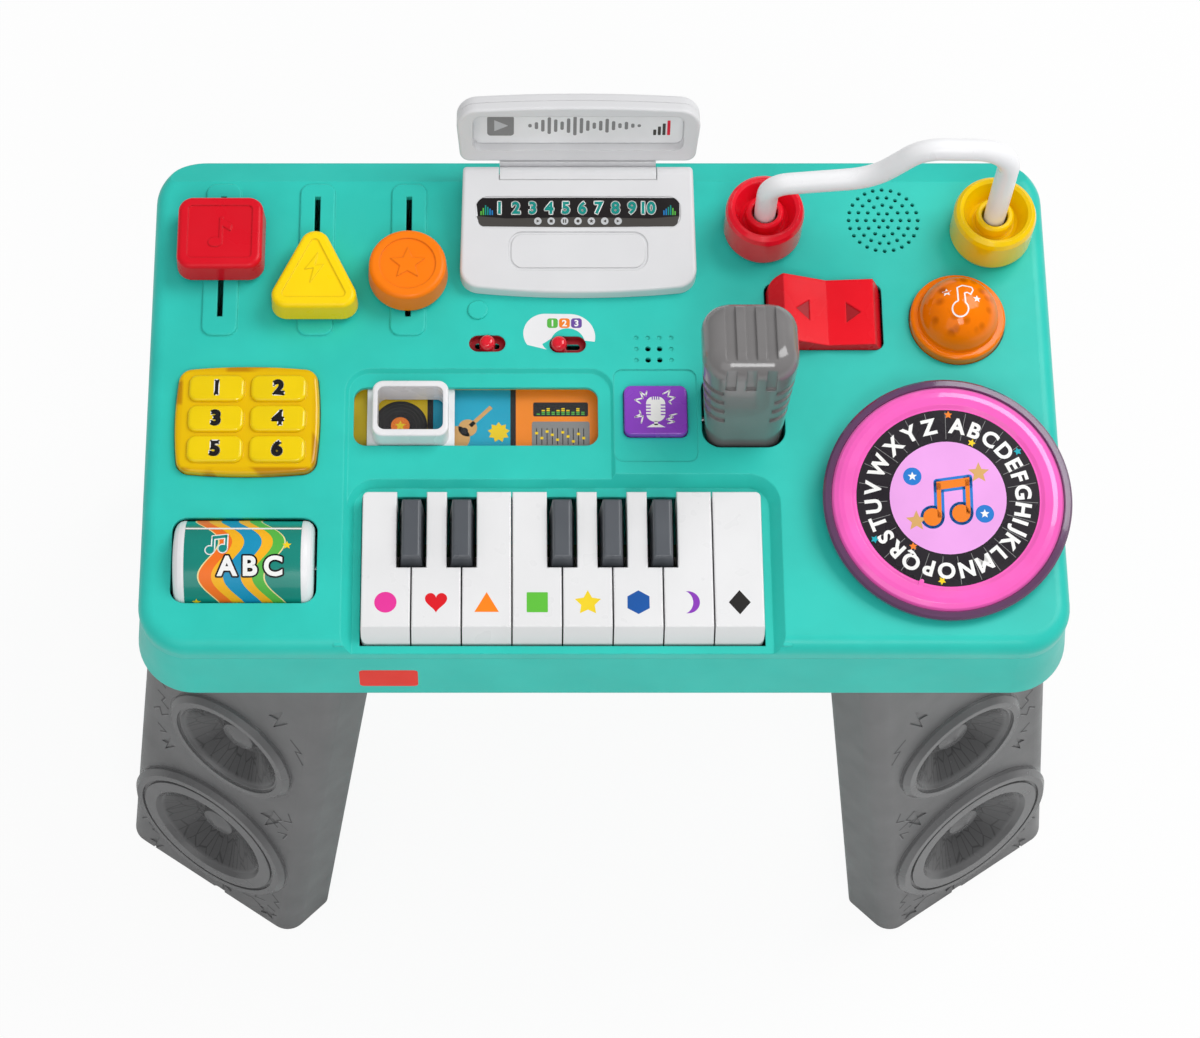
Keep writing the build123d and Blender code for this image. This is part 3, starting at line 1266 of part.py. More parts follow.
def microphone():
    height = MIC_HEIGHT + MIC_FOOT_DROP
    plan = RectangleRounded(*MIC_FOOT, MIC_FOOT_R)
    body = Pos(0, 0, -MIC_FOOT_DROP) * extrude(plan, height, taper=-MIC_FLARE)
    body = fillet(top_edges(body), MIC_TOP_R)
    body -= mic_grooves()
    hollow = block(MIC_FOOT[0] - 2 * MIC_SKIN - 3.4, MIC_FOOT[1] - 2 * MIC_SKIN - 3.4, -MIC_FOOT_DROP - 1,
                   MIC_HEIGHT - 8, MIC_FOOT_R - MIC_SKIN - 1.7)
    body -= hollow
    body -= rod_x(AXLE_R + FIT, -BIG, BIG, 0, 0)
    return Pos(MIC_AT[0], MIC_AT[1], MIC_AXLE_Z) * Rot(-MIC_LEAN, 0, 0) * body


def mic_axle():
    half = MIC_HOLE[0] / 2 + BRACKET
    return rod_x(AXLE_R, MIC_AT[0] - half, MIC_AT[0] + half, MIC_AT[1], MIC_AXLE_Z)


def rocker_switch():
    """V-shaped rocker, tipped so that its right side is pressed in."""
    half = ROCKER_SIZE[0] / 2
    crest, top = ROCKER_CREST
    wing = outline((-half, -1.0), (-half, ROCKER_END), (-crest, top), (0, ROCKER_VALLEY),
                   (crest, top), (half, ROCKER_END), (half, -1.0), (6, -5.0), (-6, -5.0))
    y0 = ROCKER_SIZE[1] / 2
    body = prism_y(wing, -y0, y0) & block(*ROCKER_SIZE, -6.0, top + 1, ROCKER_CORNER_R)
    wall = half - 2.5
    hollow = outline((-wall, -6), (-wall, ROCKER_END - 0.7), (1.5 - crest, top - 2.8),
                     (0, ROCKER_VALLEY - 2.6), (crest - 1.5, top - 2.8), (wall, ROCKER_END - 0.7), (wall, -6))
    body -= prism_y(hollow, -y0 + ROCKER_SKIN, y0 - ROCKER_SKIN)
    base, tip = ROCKER_ARROW
    for side in (-1, 1):
        arrow = outline((side * tip, 0), (side * base, ROCKER_ARROW_HALF), (side * base, -ROCKER_ARROW_HALF))
        tilt = math.degrees(math.atan2(top - ROCKER_VALLEY, crest))
        middle = side * (base + tip) / 2
        height = ROCKER_VALLEY + (top - ROCKER_VALLEY) * abs(middle) / crest
        cut = Pos(0, 0, -RELIEF) * extrude(Pos(-middle, 0) * arrow, 8)
        body -= Pos(middle, 0, height) * Rot(0, -side * tilt, 0) * cut
    body += rod_y(AXLE_R + 2.5, -y0, y0, 0, 0)
    body -= rod_y(AXLE_R + FIT, -y0 - 1, y0 + 1, 0, 0)
    return Pos(ROCKER_AT[0], ROCKER_AT[1], ROCKER_AXLE_Z) * Rot(0, ROCKER_TILT, 0) * body


def rocker_axle():
    half = ROCKER_SIZE[1] / 2 + EDGE_GAP + BRACKET
    return rod_y(AXLE_R, ROCKER_AT[1] - half, ROCKER_AT[1] + half, ROCKER_AT[0], ROCKER_AXLE_Z)


def dome_button():
    """Clear dome on a skirt, kept under the deck by a lip."""
    low = UNDER_Z - REST_GAP - FLANGE_THICK
    skirt_ring = post(DOME_BASE_R, low, DOME_STEP_Z, (0, 0))
    skirt_ring = fillet(top_edges(skirt_ring), 1.8)
    rise = DOME_TOP_Z - DOME_STEP_Z + 2
    ball = (DOME_SHELL_R ** 2 + rise ** 2) / (2 * rise)
    middle = Pos(0, 0, DOME_TOP_Z - ball)
    above = bar(-BIG, BIG, -BIG, BIG, DOME_STEP_Z - 2, DOME_STEP_Z + BIG)
    cap = middle * Sphere(ball) & above
    inner = middle * Sphere(ball - DOME_SKIN) & above
    lip = post(DOME_BASE_R + FLANGE, low, low + FLANGE_THICK, (0, 0))
    throat = post(DOME_SHELL_R - DOME_SKIN - 0.6, low - 1, DOME_STEP_Z - 1.5, (0, 0))
    body = skirt_ring + cap + lip - inner - throat
    return Pos(DOME_AT[0], DOME_AT[1], 0) * body


# ------------------------------------------------------------------------------------------
# Record turntable
# ------------------------------------------------------------------------------------------

def turntable_disc():
    """Pink platter: rounded ring round a flat label, with a bore for the spindle."""
    label = -1.6
    ring_mid = (TURN_LABEL_R + TURN_DISC_R) / 2
    low = -TURN_DISC_THICK
    bore = SPINDLE_R + FIT
    profile = ((bore, low), (TURN_DISC_R, low), (TURN_DISC_R, -3.2), (TURN_DISC_R - 1.2, -1.6),
               (TURN_DISC_R - 3.6, -0.4), (ring_mid, 0.0), (TURN_LABEL_R + 2.0, -0.3), (TURN_LABEL_R, label),
               (bore, label))
    disc = turned(profile)
    disc += Pos(-16.5, -TURN_LABEL_R + 2.0, label - 0.2) * extrude(SlotOverall(6, 2.6, rotation=70), 1.2)
    return turn_frame() * disc


def turntable_rim():
    """Smoky outer ring that the platter sits in."""
    inner = TURN_DISC_R + 0.2
    low = -TURN_RIM_THICK
    profile = ((PLINTH_R - 8, low), (TURN_RIM_R - 2, low), (TURN_RIM_R, low + 2), (TURN_RIM_R, -3.6),
               (TURN_RIM_R - 1.2, -2.2), (inner + 0.6, -1.8), (inner, -2.6), (inner, -TURN_DISC_THICK - 0.1),
               (PLINTH_R - 8, -TURN_DISC_THICK - 0.1))
    return turn_frame() * turned(profile)


def turntable_spindle():
    """Headed pin through the platter into the plinth's boss; its head lies under the label."""
    top = -TURN_RIM_THICK - REST_GAP
    return turn_frame() * (post(SPINDLE_R, top - 11, -1.7, (0, 0)))


# ------------------------------------------------------------------------------------------
# Tube, cups and sound driver
# ------------------------------------------------------------------------------------------

def tube_path():
    points = [(RED_AT[0], RED_AT[1], TUBE_FOOT_Z), TUBE_SHOULDER, TUBE_SADDLE, TUBE_CREST, TUBE_END,
              (YELLOW_AT[0], YELLOW_AT[1], TUBE_FOOT_Z)]
    return FilletPolyline(*points, radius=list(TUBE_BENDS))


def arch_tube():
    path = tube_path()
    start = Plane(origin=path @ 0, z_dir=path % 0)
    ring = Circle(TUBE_R) - Circle(TUBE_R - TUBE_WALL)
    return sweep(start * ring, path=path)


def cup(at, radius):
    """Cup-shaped ring with a collar in the middle that turns round the tube."""
    low = DECK_Z + REST_GAP
    lip = radius - CUP_LIP_R
    top = CUP_TOP_Z
    floor = CUP_FLOOR_Z
    collar = CUP_COLLAR_R
    profile = ((CUP_BORE_R, low), (radius - 3, low), (radius - 0.8, low + 1.5), (radius, low + 4),
               (radius, top - 4.5), (radius - 1.0, top - 1.6), (lip, top), (lip - 2.0, top - 1.2),
               (lip - 3.0, top - 4), (collar + 3.0, floor + 1), (collar + 1.0, floor), (collar, floor + 1),
               (collar, top - 5), (collar - 1.0, top - 4), (CUP_BORE_R + 0.6, top - 4), (CUP_BORE_R, top - 5))
    return Pos(at[0], at[1], 0) * turned(profile)


def speaker_driver():
    """Small loudspeaker under the grille: flange, basket and magnet."""
    high = UNDER_Z - REST_GAP / 3
    rim = DRIVER_R - 3
    magnet = (MAGNET_R, high - DRIVER_DEPTH)
    body = turned(((0, high - DRIVER_DEPTH), magnet, (MAGNET_R, high - 10), (rim, high - 2),
                   (DRIVER_R, high - 2), (DRIVER_R, high), (rim, high), (rim - 1, high - 1.5), (7, high - 6),
                   (0, high - 4)))
    return Pos(GRILLE_AT[0], GRILLE_AT[1], 0) * body


# ------------------------------------------------------------------------------------------
# All nodes
# ------------------------------------------------------------------------------------------

def case_screws():
    screws = Part()
    for at in SCREW_PLACES:
        head_low = BOSS_TOP_Z - BOSS_FLOOR - SCREW_HEAD
        screws += screw(at, head_low, SCREW_HEAD_R, SCREW_R, SCREW_LENGTH - 0.5)
    return screws


def all_nodes():
    nodes = {"top_shell": top_shell(), "bottom_shell": bottom_shell(), "battery_door": battery_door(),
             "battery_door_screw": door_screw(),
             "batteries": batteries(), "circuit_board": circuit_board(), "speaker_driver": speaker_driver(),
             "key_axle": key_axle(), "key_membrane": key_membrane(), "picture_tray": picture_tray(),
             "window_lens": window_lens(), "laptop_base": laptop_base(), "laptop_hinge_pin": hinge_pin(),
             "arch_tube": arch_tube(), "blanking_plug": blanking_plug(), "drum_axle": drum_axle(),
             "rocker_axle": rocker_axle(), "mic_axle": mic_axle(), "turntable_spindle": turntable_spindle(),
             "case_screws": case_screws()}
    nodes.update(four_legs(left_front_leg()))
    for kind, x, y in zip(("square", "triangle", "round"), SLIDER_X, KNOB_REST_Y):
        nodes[kind + "_slider_knob"] = slider_knob(kind, x, y)
        nodes[kind + "_slider_clip"] = slider_clip(x, y)
    nodes.update({"lid_bezel": lid_bezel(), "lid_back": lid_back(), "lid_screen": lid_screen(),
                  "power_switch_knob": switch_knob(*POWER_AT),
                  "stage_switch_knob": switch_knob(STAGE_AT[0] + STAGE_REST, STAGE_AT[1]),
                  "number_panel": number_panel(), "drum_barrel": drum_barrel(),
                  "drum_end_caps": drum_end_caps(), "window_slider": window_slider(),
                  "mic_button": mic_button(), "microphone": microphone(),
                  "rocker_switch": rocker_switch(), "dome_button": dome_button(),
                  "turntable_disc": turntable_disc(), "turntable_rim": turntable_rim(),
                  "red_ring": cup(RED_AT, CUP_R[0]), "yellow_ring": cup(YELLOW_AT, CUP_R[1])})
    for index in range(KEY_COUNT):
        nodes["white_key_" + str(index + 1)] = white_key(index)
    for number in range(len(black_after())):
        nodes["black_key_" + str(number + 1)] = black_key(number)
    return nodes


os.makedirs("parts", exist_ok=True)
for name, solid in all_nodes().items():
    export_step(solid, "parts/" + name + ".step")
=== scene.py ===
import math

import bmesh
import bpy
from mathutils import Matrix, Vector


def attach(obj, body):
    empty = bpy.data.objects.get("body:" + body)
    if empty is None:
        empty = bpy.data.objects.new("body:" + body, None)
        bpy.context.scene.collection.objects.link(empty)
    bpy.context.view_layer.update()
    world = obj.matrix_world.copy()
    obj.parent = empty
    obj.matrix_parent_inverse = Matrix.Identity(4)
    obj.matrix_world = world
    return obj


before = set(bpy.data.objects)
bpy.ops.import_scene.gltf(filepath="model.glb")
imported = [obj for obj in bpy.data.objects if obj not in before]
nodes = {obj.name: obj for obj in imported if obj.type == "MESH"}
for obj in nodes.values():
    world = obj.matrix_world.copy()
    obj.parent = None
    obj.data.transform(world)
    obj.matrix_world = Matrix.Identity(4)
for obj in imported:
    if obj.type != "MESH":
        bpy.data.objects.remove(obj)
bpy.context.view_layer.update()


# ---- Legs --------------------------------------------------------------------------------
# Four hollow legs moulded in charcoal polypropylene with a fine satin grain. Each carries two
# sculpted loudspeakers and shallow bolts, notes and stars, and plugs into the bottom shell.

def shade(code):
    """Linear colour from a hex code."""
    parts = [int(code[at:at + 2], 16) / 255 for at in (1, 3, 5)]
    return [part / 12.92 if part <= 0.04045 else ((part + 0.055) / 1.055) ** 2.4 for part in parts] + [1.0]


def wire(tree, kind, look=None, **inputs):
    """Adds a shader node: look sets its own properties, and a socket given as an input is linked.
    An input is named by its label, or as i0, i1 and so on by its number."""
    made = tree.nodes.new(kind)
    for key, value in (look or {}).items():
        setattr(made, key, value)
    for key, value in inputs.items():
        by_number = key[0] == "i" and key[1:].isdigit()
        socket = made.inputs[int(key[1:]) if by_number else key.replace("_", " ")]
        if isinstance(value, bpy.types.NodeSocket):
            tree.links.new(value, socket)
        else:
            socket.default_value = value
    return made


def mixed(tree, share, first, second):
    """Colour between two colours or sockets."""
    return wire(tree, "ShaderNodeMix", {"data_type": "RGBA"}, i0=share, i6=first, i7=second).outputs[2]


def spread(tree, value, low, high, start=0.0, end=1.0):
    """Value remapped from low..high to start..end."""
    return wire(tree, "ShaderNodeMapRange", None, Value=value, From_Min=low, From_Max=high, To_Min=start,
                To_Max=end).outputs[0]


def product(tree, first, second):
    """One value times another."""
    return wire(tree, "ShaderNodeMath", {"operation": "MULTIPLY"}, i0=first, i1=second).outputs[0]


def vector_length(tree, vector):
    """How long a vector is."""
    return wire(tree, "ShaderNodeVectorMath", {"operation": "LENGTH"}, i0=vector).outputs["Value"]


def overlap(tree, vector, axis):
    """Dot product: how far a vector reaches along an axis."""
    return wire(tree, "ShaderNodeVectorMath", {"operation": "DOT_PRODUCT"}, i0=vector,
                i1=axis).outputs["Value"]


def plastic(name, code, rough=0.36, grain=0.12, grain_size=2200.0, cloud=0.035, soften=0.0006, wear_and_highlight=0.12,
            **finish):
    """Moulded plastic: faint flow clouds, spark-eroded grain, edges softened and painted a little paler,
    partly as rubbed wear and partly as a painted highlight.
    """
    material = bpy.data.materials.new(name)
    material.use_nodes = True
    tree = material.node_tree
    surface = tree.nodes["Principled BSDF"]
    where = wire(tree, "ShaderNodeTexCoord").outputs["Object"]
    clouds = wire(tree, "ShaderNodeTexNoise", None, Vector=where, Scale=28.0, Detail=3.0).outputs[0]
    base = shade(code)
    dark = [c * (1 - cloud * 1.6) for c in base[:3]] + [1.0]
    pale = [c * (1 + cloud) + cloud * 0.02 for c in base[:3]] + [1.0]
    colour = mixed(tree, spread(tree, clouds, 0.35, 0.65), dark, pale)
    bumps = wire(tree, "ShaderNodeTexNoise", None, Vector=where, Scale=grain_size, Detail=1.0).outputs[0]
    relief = {"Strength": grain, "Distance": 0.0004, "Height": bumps}
    if soften:
        rounded = wire(tree, "ShaderNodeBevel", {"samples": 4}, Radius=soften).outputs[0]
        flat = wire(tree, "ShaderNodeNewGeometry").outputs["Normal"]
        # Paler edges: partly rubbed wear, partly a painted highlight along every softened edge.
        rub_and_highlight = spread(tree, overlap(tree, rounded, flat), 1.0, 0.75, 0.0, wear_and_highlight)
        colour = mixed(tree, rub_and_highlight, colour, [min(1.0, c * 1.5 + 0.06) for c in base[:3]] + [1.0])
        relief["Normal"] = rounded
    tree.links.new(colour, surface.inputs["Base Color"])
    tree.links.new(wire(tree, "ShaderNodeBump", None, **relief).outputs[0], surface.inputs["Normal"])
    patches = wire(tree, "ShaderNodeTexNoise", None, Vector=where, Scale=60.0, Detail=2.0).outputs[0]
    tree.links.new(spread(tree, patches, 0.3, 0.7, rough - 0.04, rough + 0.05), surface.inputs["Roughness"])
    for key, value in finish.items():
        surface.inputs[key.replace("_", " ")].default_value = value
    return material


def dress(material, *names):
    """Gives CAD nodes their finish."""
    for name in names:
        for slot in nodes[name].material_slots:
            slot.material = material


FACE_OUTER, FACE_TOE = Vector((-298.0, -122.0, 0.0)), Vector((-190.5, -193.0, 0.0))
face_side = (FACE_TOE - FACE_OUTER).normalized()
face_rise = Vector((42.0, 46.0, 330.0)).normalized()
face_out = face_side.cross(face_rise).normalized()
SPEAKERS = ((-1.0, 74.0, 0.0565, 0.037), (5.5, 198.0, 0.043, 0.033))  # along, up, ring and cone radius
CAP_R = 0.013
CONE_REACH = 0.018  # the cones lie less deep than this behind the face
RING_SHINE = 0.12
CRACK_PITCH, CRACK_STRETCH, CRACK_WIDTH = 5.5, 14.0, 0.06


def on_face(along, up):
    """Point on the speaker face of the left front leg, in millimetres."""
    return (FACE_OUTER + FACE_TOE) / 2 + along * face_side + up * face_rise


charcoal = plastic("charcoal_satin", "#676768", rough=0.36, grain=0.22, grain_size=1500.0, cloud=0.05,
                   wear_and_highlight=0.25)
tree = charcoal.node_tree
surface = tree.nodes["Principled BSDF"]
where = wire(tree, "ShaderNodeTexCoord").outputs["Object"]
positive = wire(tree, "ShaderNodeVectorMath", {"operation": "ABSOLUTE"}, i0=where).outputs[0]
folded = wire(tree, "ShaderNodeVectorMath", {"operation": "MULTIPLY"}, i0=positive,
              i1=(-1.0, -1.0, 1.0)).outputs[0]
skin = surface.inputs["Base Color"].links[0].from_socket
gloss = surface.inputs["Roughness"].links[0].from_socket
for along, up, ring, cone in SPEAKERS:
    offset = wire(tree, "ShaderNodeVectorMath", {"operation": "SUBTRACT"}, i0=folded,
                  i1=tuple(on_face(along, up) / 1000)).outputs[0]
    sweep = wire(tree, "ShaderNodeVectorMath", {"operation": "CROSS_PRODUCT"}, i0=offset,
                 i1=tuple(face_out)).outputs[0]
    reach = vector_length(tree, sweep)
    in_face = product(tree, spread(tree, reach, cone, cone - 0.002),
                      spread(tree, overlap(tree, offset, tuple(face_out)), -CONE_REACH - 0.004, -CONE_REACH))
    # Painted shade: inside each sunk cone, outside its cap, the face is painted darker, with a pattern of
    # darker crack lines over it.
    cone_shade = product(tree, in_face, spread(tree, reach, CAP_R - 0.001, CAP_R + 0.002))
    bearing = wire(tree, "ShaderNodeMath", {"operation": "ARCTAN2"},
                   i0=overlap(tree, offset, tuple(face_side)),
                   i1=overlap(tree, offset, tuple(-face_rise))).outputs[0]
    unrolled = wire(tree, "ShaderNodeCombineXYZ", None, X=bearing,
                    Y=product(tree, reach, CRACK_STRETCH)).outputs[0]
    cracks = wire(tree, "ShaderNodeTexVoronoi", {"feature": "DISTANCE_TO_EDGE"}, Vector=unrolled,
                  Scale=CRACK_PITCH).outputs[0]
    lined = mixed(tree, spread(tree, cracks, 0.0, CRACK_WIDTH, 1.0, 0.0), shade("#525253"), shade("#3B3B3C"))
    skin = mixed(tree, cone_shade, skin, lined)
    ringed = product(tree, spread(tree, reach, ring + 0.003, ring), RING_SHINE)
    gloss = wire(tree, "ShaderNodeMath", {"operation": "SUBTRACT", "use_clamp": True}, i0=gloss,
                 i1=ringed).outputs[0]
tree.links.new(skin, surface.inputs["Base Color"])
tree.links.new(gloss, surface.inputs["Roughness"])
dress(charcoal, "leg_front_left", "leg_front_right", "leg_back_left", "leg_back_right")


# ---- Bottom shell ------------------------------------------------------------------------
# The turquoise ABS tray under the table: a flaring skirt with four leg sockets and a battery
# door, closed from below with eight pan head screws.

turquoise = plastic("turquoise_casing", "#30C9BB", rough=0.34, grain=0.06, soften=0.0011, wear_and_highlight=0.35,
                    cloud=0.03, Specular_IOR_Level=0.25)
dress(turquoise, "bottom_shell", "battery_door")


# ---- Screws and steel axles ----------------------------------------------------------------
# Zinc-plated steel: the case screws, the battery door's screw and the plain turned axles that the
# keys, drum, rocker, microphone and lid turn on.

def steel(name, code, rough):
    """Plated steel with fine turning marks."""
    material = plastic(name, code, rough=rough, grain=0.25, grain_size=900.0, soften=0.0, cloud=0.08)
    material.node_tree.nodes["Principled BSDF"].inputs["Metallic"].default_value = 1.0
    return material


zinc = steel("zinc_plate", "#B9BCC0", 0.32)
dress(zinc, "case_screws", "battery_door_screw", "key_axle", "drum_axle", "rocker_axle", "mic_axle",
      "laptop_hinge_pin", "turntable_spindle")


# ---- Electronics under the deck ------------------------------------------------------------
# A green printed board with its rubber contact sheet under the keys, three penlight cells in
# their box and a small paper-cone loudspeaker glued under the grille.

dress(plastic("board_lacquer", "#1E6B3A", rough=0.25, grain=0.3, grain_size=700.0, soften=0.0),
      "circuit_board")
dress(plastic("contact_rubber", "#C9C4B8", rough=0.6, grain=0.2), "key_membrane")
dress(plastic("cell_wrap", "#2F3A44", rough=0.25, grain=0.1, wear_and_highlight=0.4), "batteries")
dress(plastic("driver_paper", "#1B1B1D", rough=0.7, grain=0.6, grain_size=500.0, soften=0.0),
      "speaker_driver")


# ---- Top shell -----------------------------------------------------------------------------
# The turquoise deck: one ABS moulding with two stepped bays, raised slider tracks, the record's
# plinth and every opening, screwed on from below. A small round plug closes the spare hole.

dress(turquoise, "top_shell", "blanking_plug")


# ---- Keyboard ------------------------------------------------------------------------------
# Eight white keys with slanting noses and five slate ones, hollow mouldings hung on one axle.
# A coloured sign is pad-printed near the front of each white key.

ivory = plastic("key_white", "#E9E9EA", rough=0.3, grain=0.05, soften=0.0007, wear_and_highlight=0.3, cloud=0.012)
slate = plastic("key_slate", "#565A60", rough=0.3, grain=0.08, soften=0.0007, wear_and_highlight=0.25)
dress(ivory, *["white_key_%d" % number for number in range(1, 9)])
dress(slate, *["black_key_%d" % number for number in range(1, 6)])


def ink(name, code, rough=0.35):
    """Pad-printing ink: slightly uneven in colour and gloss."""
    return plastic(name, code, rough=rough, grain=0.08, grain_size=3500.0, soften=0.0, cloud=0.03,
                   Specular_IOR_Level=0.3)


def arc(x, y, radius, start, end, steps=24):
    """Points along an arc, angles in degrees."""
    angles = [math.radians(start + (end - start) * step / steps) for step in range(steps + 1)]
    return [(x + radius * math.cos(angle), y + radius * math.sin(angle)) for angle in angles]


def disc(x, y, radius, steps=48):
    """Full circle, without its first point twice."""
    return [arc(x, y, radius, 0, 360 * (steps - 1) / steps, steps - 1)]


def box(x, y, width, height, radius=0.0):
    """Rectangle with round corners."""
    radius = radius or 0.001
    a, b = width / 2 - radius, height / 2 - radius
    return [arc(x + a, y + b, radius, 0, 90, 6) + arc(x - a, y + b, radius, 90, 180, 6)
            + arc(x - a, y - b, radius, 180, 270, 6) + arc(x + a, y - b, radius, 270, 360, 6)]


def burst(x, y, radius, waist=0.45, tips=5, turn=90.0):
    """Star with its first tip at the turn angle."""
    points = []
    for step in range(2 * tips):
        angle = math.radians(turn + 180.0 * step / tips)
        reach = radius if step % 2 == 0 else radius * waist
        points.append((x + reach * math.cos(angle), y + reach * math.sin(angle)))
    return [points]


def mounted(name, bm, materials, body):
    """Makes a piece from its finished faces and mounts it on its body."""
    mesh = bpy.data.meshes.new(name)
    for material in materials:
        mesh.materials.append(material)
    bm.to_mesh(mesh)
    bm.free()
    piece = bpy.data.objects.new(name, mesh)
    bpy.context.scene.collection.objects.link(piece)
    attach(piece, body)


FILM_LIFT, FILM_STEP = 0.03, 0.025


def printed(name, body, place, layers, cuts=()):
    """Printed film on a surface: layers of (ink, shapes), each a hair above the last.
    place turns a point (x, y, height) in millimetres on the artwork into one in the frame.
    cuts are heights at which the film is split, so that it can follow a curve."""
    bm = bmesh.new()
    for level, (material, shapes) in enumerate(layers):
        for shape in shapes:
            for points in shape:
                corners = [bm.verts.new((x, y, FILM_LIFT + FILM_STEP * level)) for x, y in points]
                bm.faces.new(corners).material_index = level
    for y in cuts:
        bmesh.ops.bisect_plane(bm, geom=bm.verts[:] + bm.edges[:] + bm.faces[:], plane_co=(0, y, 0),
                               plane_no=(0, 1, 0))
    bmesh.ops.recalc_face_normals(bm, faces=bm.faces)
    for face in bm.faces:
        if face.normal.z < 0:
            face.normal_flip()
    for corner in bm.verts:
        corner.co = place(*corner.co)
    mounted(name, bm, [material for material, _ in layers], body)


def lying(x, y, z, tilt=0.0):
    """Placing of flat artwork: its middle and its tilt about X."""
    middle = Matrix.Translation((x / 1000, y / 1000, z / 1000))
    seat = middle @ Matrix.Rotation(math.radians(tilt), 4, "X")
    return lambda a, b, h: seat @ Vector((a / 1000, b / 1000, h / 1000))


KEY_PITCH = 27.225
KEYS_LEFT = -131.5
KEY_TOP = 388.0
SIGN_Y = -120.0
heart = [(6.3 * 0.95 * math.sin(t) ** 3,
          0.40 * (13 * math.cos(t) - 5 * math.cos(2 * t) - 2 * math.cos(3 * t) - math.cos(4 * t)) + 0.6)
         for t in [math.tau * step / 48 for step in range(48)]]
moon = arc(-0.6, 0, 6.4, -100, 100, 30) + arc(-5.2, 0, 7.4, 58.5, -58.5, 24)[1:-1]
key_signs = (
    ("circle", "#E8359B", disc(0, 0, 6.0)),
    ("heart", "#E0101F", [heart]),
    ("triangle", "#FF8409", [[(-6.6, -5.6), (6.6, -5.6), (0, 5.9)]]),
    ("square", "#63C63E", box(0, 0, 11.4, 11.6, 0.5)),
    ("star", "#F6D723", burst(0, -0.4, 7.4, 0.52)),
    ("hexagon", "#1157A8", burst(0, 0, 6.9, 0.99, 3)),
    ("moon", "#8A36B8", [moon]),
    ("diamond", "#23201F", [[(5.9, 0), (0, 7.0), (-5.9, 0), (0, -7.0)]]),
)
for number, (sign, code, shape) in enumerate(key_signs):
    middle = KEYS_LEFT + KEY_PITCH * (number + 0.5)
    printed("key_sign_" + sign, "white_key_%d" % (number + 1), lying(middle, SIGN_Y, KEY_TOP),
            [(ink("sign_" + sign, code), [shape])])


# ---- Sliders -------------------------------------------------------------------------------
# Three chunky knobs in red, yellow and orange ABS, each with a sunk face and a raised sign,
# pushed through the slot of its track and held by a clip from below.

cherry = plastic("cherry_red", "#DE0C22", rough=0.3, grain=0.06, soften=0.0009, wear_and_highlight=0.2, cloud=0.02,
                 Specular_IOR_Level=0.25)
lemon = plastic("lemon_yellow", "#FFD900", rough=0.3, grain=0.06, soften=0.0009, wear_and_highlight=0.2, cloud=0.02,
                Specular_IOR_Level=0.25)
tangerine = plastic("tangerine_orange", "#FC7E00", rough=0.32, grain=0.06, soften=0.0009, wear_and_highlight=0.2,
                    cloud=0.02, Specular_IOR_Level=0.25)
dress(cherry, "square_slider_knob", "square_slider_clip")
dress(lemon, "triangle_slider_knob", "triangle_slider_clip")
dress(tangerine, "round_slider_knob", "round_slider_clip")


# ---- Laptop --------------------------------------------------------------------------------
# A play laptop in pale grey ABS: a sloping base with a printed number strip and a sunk touchpad
# line, and a two-part lid that turns on a steel pin and holds a printed screen card.

pearl_grey = plastic("laptop_grey", "#DEDEE0", rough=0.34, grain=0.08, soften=0.0008, wear_and_highlight=0.3, cloud=0.012)
dress(pearl_grey, "laptop_base", "lid_bezel", "lid_back")
dress(ink("card_back", "#CFD1D3"), "lid_screen")

LAPTOP_X = -12.5
LAPTOP_SLOPE = 15.0
PIN_Y = 131.0
PIN_Z = 403.5
KNUCKLE = 6.2
STRIP_Y = 109.0
STRIP_SUNK = 0.6


def slope_z(y):
    """Height of the laptop's sloping top."""
    lean = math.radians(LAPTOP_SLOPE)
    return PIN_Z + KNUCKLE * math.cos(lean) - (PIN_Y - KNUCKLE * math.sin(lean) - y) * math.tan(lean)


def lettering(text, x, y, size, weight=0.0, turn=0.0):
    """Plain sans letters or digits as flat triangles, centred on a point."""
    curve = bpy.data.curves.new("lettering", "FONT")
    curve.body = text
    curve.size = size
    curve.offset = weight
    curve.resolution_u = 5
    carrier = bpy.data.objects.new("lettering", curve)
    mesh = bpy.data.meshes.new_from_object(carrier)
    xs = [corner.co.x for corner in mesh.vertices]
    ys = [corner.co.y for corner in mesh.vertices]
    mid_x, mid_y = (min(xs) + max(xs)) / 2, (min(ys) + max(ys)) / 2
    c, s = math.cos(math.radians(turn)), math.sin(math.radians(turn))
    flat = [(x + c * (a - mid_x) - s * (b - mid_y), y + s * (a - mid_x) + c * (b - mid_y))
            for a, b in zip(xs, ys)]
    shapes = [[flat[index] for index in face.vertices] for face in mesh.polygons]
    bpy.data.objects.remove(carrier)
    bpy.data.curves.remove(curve)
    bpy.data.meshes.remove(mesh)
    return shapes


black_ink = ink("ink_black", "#1F1B1C")
graphite_ink = ink("ink_graphite", "#4A4744")
white_ink = ink("ink_white", "#F4F4F2")
teal_ink = ink("ink_teal", "#0E8F86")
grey_ink = ink("ink_grey", "#8D8D8D")
pale_grey_ink = ink("ink_pale_grey", "#C4C6C8")
red_ink = ink("ink_red", "#E5263F")
yellow_ink = ink("ink_yellow", "#F7D417")
green_ink = ink("ink_green", "#59B947")
blue_ink = ink("ink_blue", "#1C7FC4")
orange_ink = ink("ink_orange", "#F58220")


